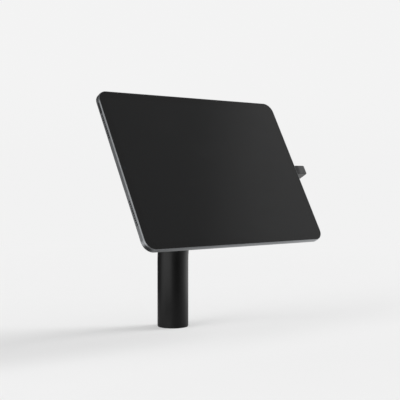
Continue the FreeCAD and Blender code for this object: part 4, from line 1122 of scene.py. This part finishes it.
@dataclass
class Arm:
    """The sliding arm with its connector pod.

    Attributes:
        body: The CAD body that its pieces ride on.
        shell_wall: The wall of the connector's shell.
        shell_soft: The radius of the shell's rims.
        shell_round: How nearly the shell's sides are half circles.
        shell_depth: How far the shell is hollow inside the pod, as a share of its length there.
        contacts: How many contacts one row has.
        contact_pitch: The distance between contacts.
        contact_width: The width of a contact.
        contact_height: How far it stands out from the shell.
        contact_corner: The radius of its long edges.
        contact_length: Its length.
        contact_inset: How far inside the shell's mouth it starts.
    """

    body: str = "arm"
    shell_wall: float = 0.0003
    shell_soft: float = 0.00012
    shell_round: float = 0.999
    shell_depth: float = 0.7
    contacts: int = 12
    contact_pitch: float = 0.0005
    contact_width: float = 0.00025
    contact_height: float = 0.00012
    contact_corner: float = 0.00003
    contact_length: float = 0.004
    contact_inset: float = 0.0008

    def build(self) -> None:
        """Make the arm's own pieces and paint it."""
        self.plug_shell()
        self.plug_contacts()
        self.dress()

    def plug_shell(self) -> None:
        """Make the connector's drawn steel shell, open at its mouth and closed inside the pod."""
        low, high = HEAD.reach("dock_plug")
        pod = HEAD.reach("pod_shell")[0].x
        closed = pod + (high.x - pod) * self.shell_depth
        radius, wall = (high.z - low.z) / 2, Vector((self.shell_wall, self.shell_wall))
        outer = rounded_box(low.yz, high.yz, radius * self.shell_round)
        bore = rounded_box(low.yz + wall, high.yz - wall, (radius - self.shell_wall) * self.shell_round)
        shell = Maker()
        shell.slab([outer, bore], low.x, closed, self.shell_soft, SIDEWAYS)
        shell.slab([outer], closed, high.x, self.shell_soft, SIDEWAYS)
        shell.piece("plug_shell", self.body, "plug_steel", Paint.plug_steel, ("dock_plug",))

    def plug_contacts(self) -> None:
        """Make the two rows of contacts on the shell's inner faces."""
        low, high = HEAD.reach("dock_plug")
        start = low.x + self.contact_inset
        floor, roof = low.z + self.shell_wall, high.z - self.shell_wall
        rows = Maker()
        for index in range(self.contacts):
            place = (index - (self.contacts - 1) / 2) * self.contact_pitch
            left, right = place - self.contact_width / 2, place + self.contact_width / 2
            for base, top in ((floor, floor + self.contact_height), (roof - self.contact_height, roof)):
                bar = rounded_box((left, base), (right, top), self.contact_corner)
                rows.slab([bar], start, start + self.contact_length, turn=SIDEWAYS)
        rows.piece("plug_contacts", self.body, "plug_steel", Paint.contact_gold)

    def dress(self) -> None:
        """Paint the arm's pieces."""
        paint_nodes({
            Paint.anodised_black: ("security_arm",),
            Paint.screw_steel: ("arm_screws", "pod_screws"),
            Paint.pod_plastic: ("pod_shell", "pod_cover"),
            Paint.circuit_board: ("dock_board",),
        })


@dataclass(frozen=True)
class Lamp:
    """One wide soft light far away.

    Attributes:
        name: Its name.
        source: The direction that it shines from.
        strength: Its brightness.
        width: The angle that it fills, as seen from the stand.
    """

    name: str
    source: Point
    strength: float
    width: float

    def hang(self) -> None:
        """Hang the light so that it shines from its source onto the stand and shows in no reflection."""
        light = bpy.data.lights.new(self.name, "SUN")
        light.energy = self.strength
        light.angle = math.radians(self.width)
        lamp = bpy.data.objects.new(self.name, light)
        lamp.rotation_euler = Vector(self.source).to_track_quat("Z", "Y").to_euler()
        lamp.visible_glossy = False
        bpy.context.scene.collection.objects.link(lamp)


@dataclass(frozen=True)
class Wall:
    """A pale wall on one side of the studio, which gets paler in steps towards its middle.

    Attributes:
        steps: Where each step starts and ends and how much it adds. A place on the wall is how far a
            direction of length 1 points to that side.
        rear: Where the wall's rear part starts and is full, as how far the direction points to the rear.
        rear_loss: How much darker the rear part is.
    """

    steps: tuple[tuple[float, float, float], ...]
    rear: Span
    rear_loss: float

    def shade(self, aside: Signal, behind: Signal) -> Signal:
        """Shade the wall.

        Args:
            aside: How far the direction points to the wall's side.
            behind: How far it points to the rear.

        Returns:
            How pale the wall is there.
        """
        pale = sum(aside.rise(start, end) * share for start, end, share in self.steps)
        return pale * (1 - behind.rise(*self.rear) * self.rear_loss)


@dataclass
class Studio:
    """The pale floor and backdrop, three wide soft lights and the camera.

    Camera and glass see floor and backdrop evenly pale. Everything else is lit by two pale walls, left
    and right, with dark flags between them. Where glossy surfaces mirror the floor, its brightness is
    painted: darker by the same walls and flags, evened near the foot and with a painted dark spot.

    Attributes:
        floor_radius: The radius of the round floor.
        floor_sides: How many sides it has.
        floor_shade: Its own colour.
        floor_grain: The size of its faint speckle.
        floor_speckle: How much the speckle changes its colour.
        floor_glow: The share of its brightness that the lamps don't change.
        floor_fade: Where it starts to fade into the backdrop and where it has done so.
        pale_floor: The backdrop at floor level.
        pale_top: The backdrop above.
        sky_rise: Where the backdrop turns from the one to the other.
        flag_and_painted_floor_shade: The dark flags, and the painted shade that glossy surfaces see on the
            floor.
        base_share: How pale glossy surfaces see the flags.
        right_wall: The pale wall to the right.
        left_wall: The pale wall to the left.
        near_fade: Where the walls' painted light on the mirrored floor starts to show, out from the foot.
        near_blend: How much of that painted light is evened out nearer than that.
        near_share: How pale glossy surfaces see the evened floor, as painted brightness.
        painted_dark_spot: Where a painted dark spot lies on the floor, seen only by glossy surfaces.
        painted_dark_fade: Where the painted spot starts to fade and where it has ended.
        painted_dark_share: How much of the floor's painted brightness in reflections the spot takes away.
        lamps: The lights.
        camera_at: Where the camera stands.
        camera_turn: Its turn about the vertical, from facing the rear.
        camera_dip: How far it looks down.
        lens: Its focal length in millimetres.
        sensor: The width of its sensor in millimetres.
    """

    floor_radius: float = 9.0
    floor_sides: int = 96
    floor_shade: float = 0.82
    floor_grain: float = 0.05
    floor_speckle: float = 0.005
    floor_glow: float = 0.35
    floor_fade: Span = (0.55, 1.3)
    pale_floor: float = 0.887
    pale_top: float = 0.898
    sky_rise: Span = (0.0, 0.12)
    flag_and_painted_floor_shade: float = 0.01
    base_share: float = 0.08
    right_wall: Wall = Wall(
        ((0.1, 0.5, 0.28), (0.64, 0.71, 0.27), (0.78, 0.97, 0.37)), rear=(0.1, 0.6), rear_loss=0.35)
    left_wall: Wall = Wall(((0.3, 0.6, 0.12), (0.6, 0.92, 0.8)), rear=(0.1, 0.7), rear_loss=0.42)
    near_fade: Span = (0.19, 0.34)
    near_blend: float = 0.75
    near_share: float = 0.37
    painted_dark_spot: Point = (-0.175, -0.05, 0.0)
    painted_dark_fade: Span = (0.06, 0.125)
    painted_dark_share: float = 0.9
    lamps: tuple[Lamp, ...] = (
        Lamp("left_light", (-1.0, 0.04, 0.5), strength=0.9, width=38.0),
        Lamp("right_light", (0.945, -0.325, 0.48), strength=2.25, width=30.0),
        Lamp("top_light", Z_AXIS, strength=1.2, width=170.0),
    )
    camera_at: Point = (-0.6208, -0.7739, 0.16595)
    camera_turn: float = -40.51
    camera_dip: float = 1.33
    lens: float = 78.97
    sensor: float = 36.0

    def build(self) -> None:
        """Set up the whole studio."""
        bpy.context.scene.view_settings.view_transform = "Standard"
        self.floor()
        self.backdrop()
        for lamp in self.lamps:
            lamp.hang()
        self.camera()

    def floor(self) -> None:
        """Lay a round floor whose far part fades into the backdrop."""
        mesh = bpy.data.meshes.new("floor")
        disc = bmesh.new()
        bmesh.ops.create_circle(disc, cap_ends=True, radius=self.floor_radius, segments=self.floor_sides)
        disc.to_mesh(mesh)
        disc.free()
        mesh.materials.append(self.floor_material())
        floor = bpy.data.objects.new("floor", mesh)
        bpy.context.scene.collection.objects.link(floor)

    def floor_material(self) -> bpy.types.Material:
        """Make the floor's material, which glows evenly, keeps the shadows and is painted darker where
        mirrored.

        Returns:
            The material.
        """
        shader = Shader(bpy.data.materials.new("pale_floor"))
        point = shader.place()
        speckle = shader.noise(point, self.floor_grain, detail=2.0)
        low, high = self.floor_shade - self.floor_speckle, self.floor_shade + self.floor_speckle
        shade = shader.mix(speckle, grey(low), grey(high))
        lit = shader.add("ShaderNodeBsdfDiffuse", inputs={"Color": shade, "Roughness": 0.0})
        glow = shader.add("ShaderNodeEmission", inputs={"Color": grey(self.pale_floor), "Strength": 1.0})
        # Painted shade: a near-black floor that glossy surfaces see instead of the lit one, by a painted
        # mask.
        flag = shader.add("ShaderNodeBsdfDiffuse", inputs={"Color": grey(self.flag_and_painted_floor_shade)})
        mirrored = shader.ray(Ray.MIRRORED)
        seen = shader.ray(Ray.CAMERA).largest(mirrored).largest(shader.ray(Ray.THROUGH))
        far = shader.span(point).rise(*self.floor_fade)
        pale = shader.blend(seen * (self.floor_glow + far * (1 - self.floor_glow)), lit, glow)
        # Mirrored rays see the floor painted darker by place; camera and diffuse rays see it as lit.
        shader.finish(shader.blend(mirrored * (1 - self.painted_floor_reflection(shader, point)), pale, flag))
        return shader.owner

    def painted_floor_reflection(self, shader: Shader, point: Signal) -> Signal:
        """Paint the floor's shade as glossy surfaces see it: by the walls, evened near the foot, dark at one
        spot.

        Args:
            shader: The tree to draw in.
            point: The point on the floor.

        Returns:
            How pale it is there.
        """
        # Painted evening of the floor's brightness in reflections near the foot.
        near = self.near_blend - shader.span(point).rise(*self.near_fade) * self.near_blend
        evened = self.walls(shader, shader.unit(point)) * (1 - near) + near * self.near_share
        # A painted dark spot on the floor, seen only in reflections.
        clear = shader.span(shader.offset(point, -Vector(self.painted_dark_spot))).rise(*self.painted_dark_fade)
        return evened * (1 - self.painted_dark_share + clear * self.painted_dark_share)

    def backdrop(self) -> None:
        """Paint the backdrop, which stands behind the dark flags for all but camera and glass."""
        world = bpy.data.worlds.new("studio")
        bpy.context.scene.world = world
        shader = Shader(world)
        direction = shader.add("ShaderNodeTexCoord", output="Generated")
        height = shader.dot(direction, Z_AXIS).rise(*self.sky_rise)
        pale = shader.mix(height, grey(self.pale_floor), grey(self.pale_top))
        lit = shader.add("ShaderNodeBackground", inputs={"Color": pale, "Strength": 1.0})
        flag = shader.add("ShaderNodeBackground", inputs={"Color": grey(self.flag_and_painted_floor_shade), "Strength": 1.0})
        seen = shader.ray(Ray.CAMERA).largest(shader.ray(Ray.THROUGH))
        shader.finish(shader.blend(seen.largest(self.walls(shader, direction)), flag, lit))

    def walls(self, shader: Shader, direction: Signal) -> Signal:
        """Shade floor and backdrop by direction: pale at both sides, dark to front and rear.

        Args:
            shader: The tree to draw in.
            direction: The direction from the stand, of length 1.

        Returns:
            The share of the pale surroundings that light the stand from there.
        """
        right = shader.dot(direction, X_AXIS)
        rear = shader.dot(direction, Y_AXIS)
        return self.base_share + self.right_wall.shade(right, rear) + self.left_wall.shade(right * -1, rear)

    def camera(self) -> None:
        """Stand the camera where the photograph was taken."""
        lens = bpy.data.cameras.new("photo_camera")
        lens.lens = self.lens
        lens.sensor_width = self.sensor
        camera = bpy.data.objects.new("photo_camera", lens)
        tilt = math.pi / 2 - math.radians(self.camera_dip)
        camera.rotation_euler = (tilt, 0.0, math.radians(self.camera_turn))
        camera.location = self.camera_at
        bpy.context.scene.collection.objects.link(camera)
        bpy.context.scene.camera = camera


def main() -> None:
    """Build the stand piece by piece, then the studio round it."""
    logging.basicConfig(level=logging.INFO, format="%(name)s: %(message)s")
    for assembly in (Column(), Head(), Tablet(), Arm()):
        assembly.build()
    Studio().build()


if __name__ == "__main__":
    main()
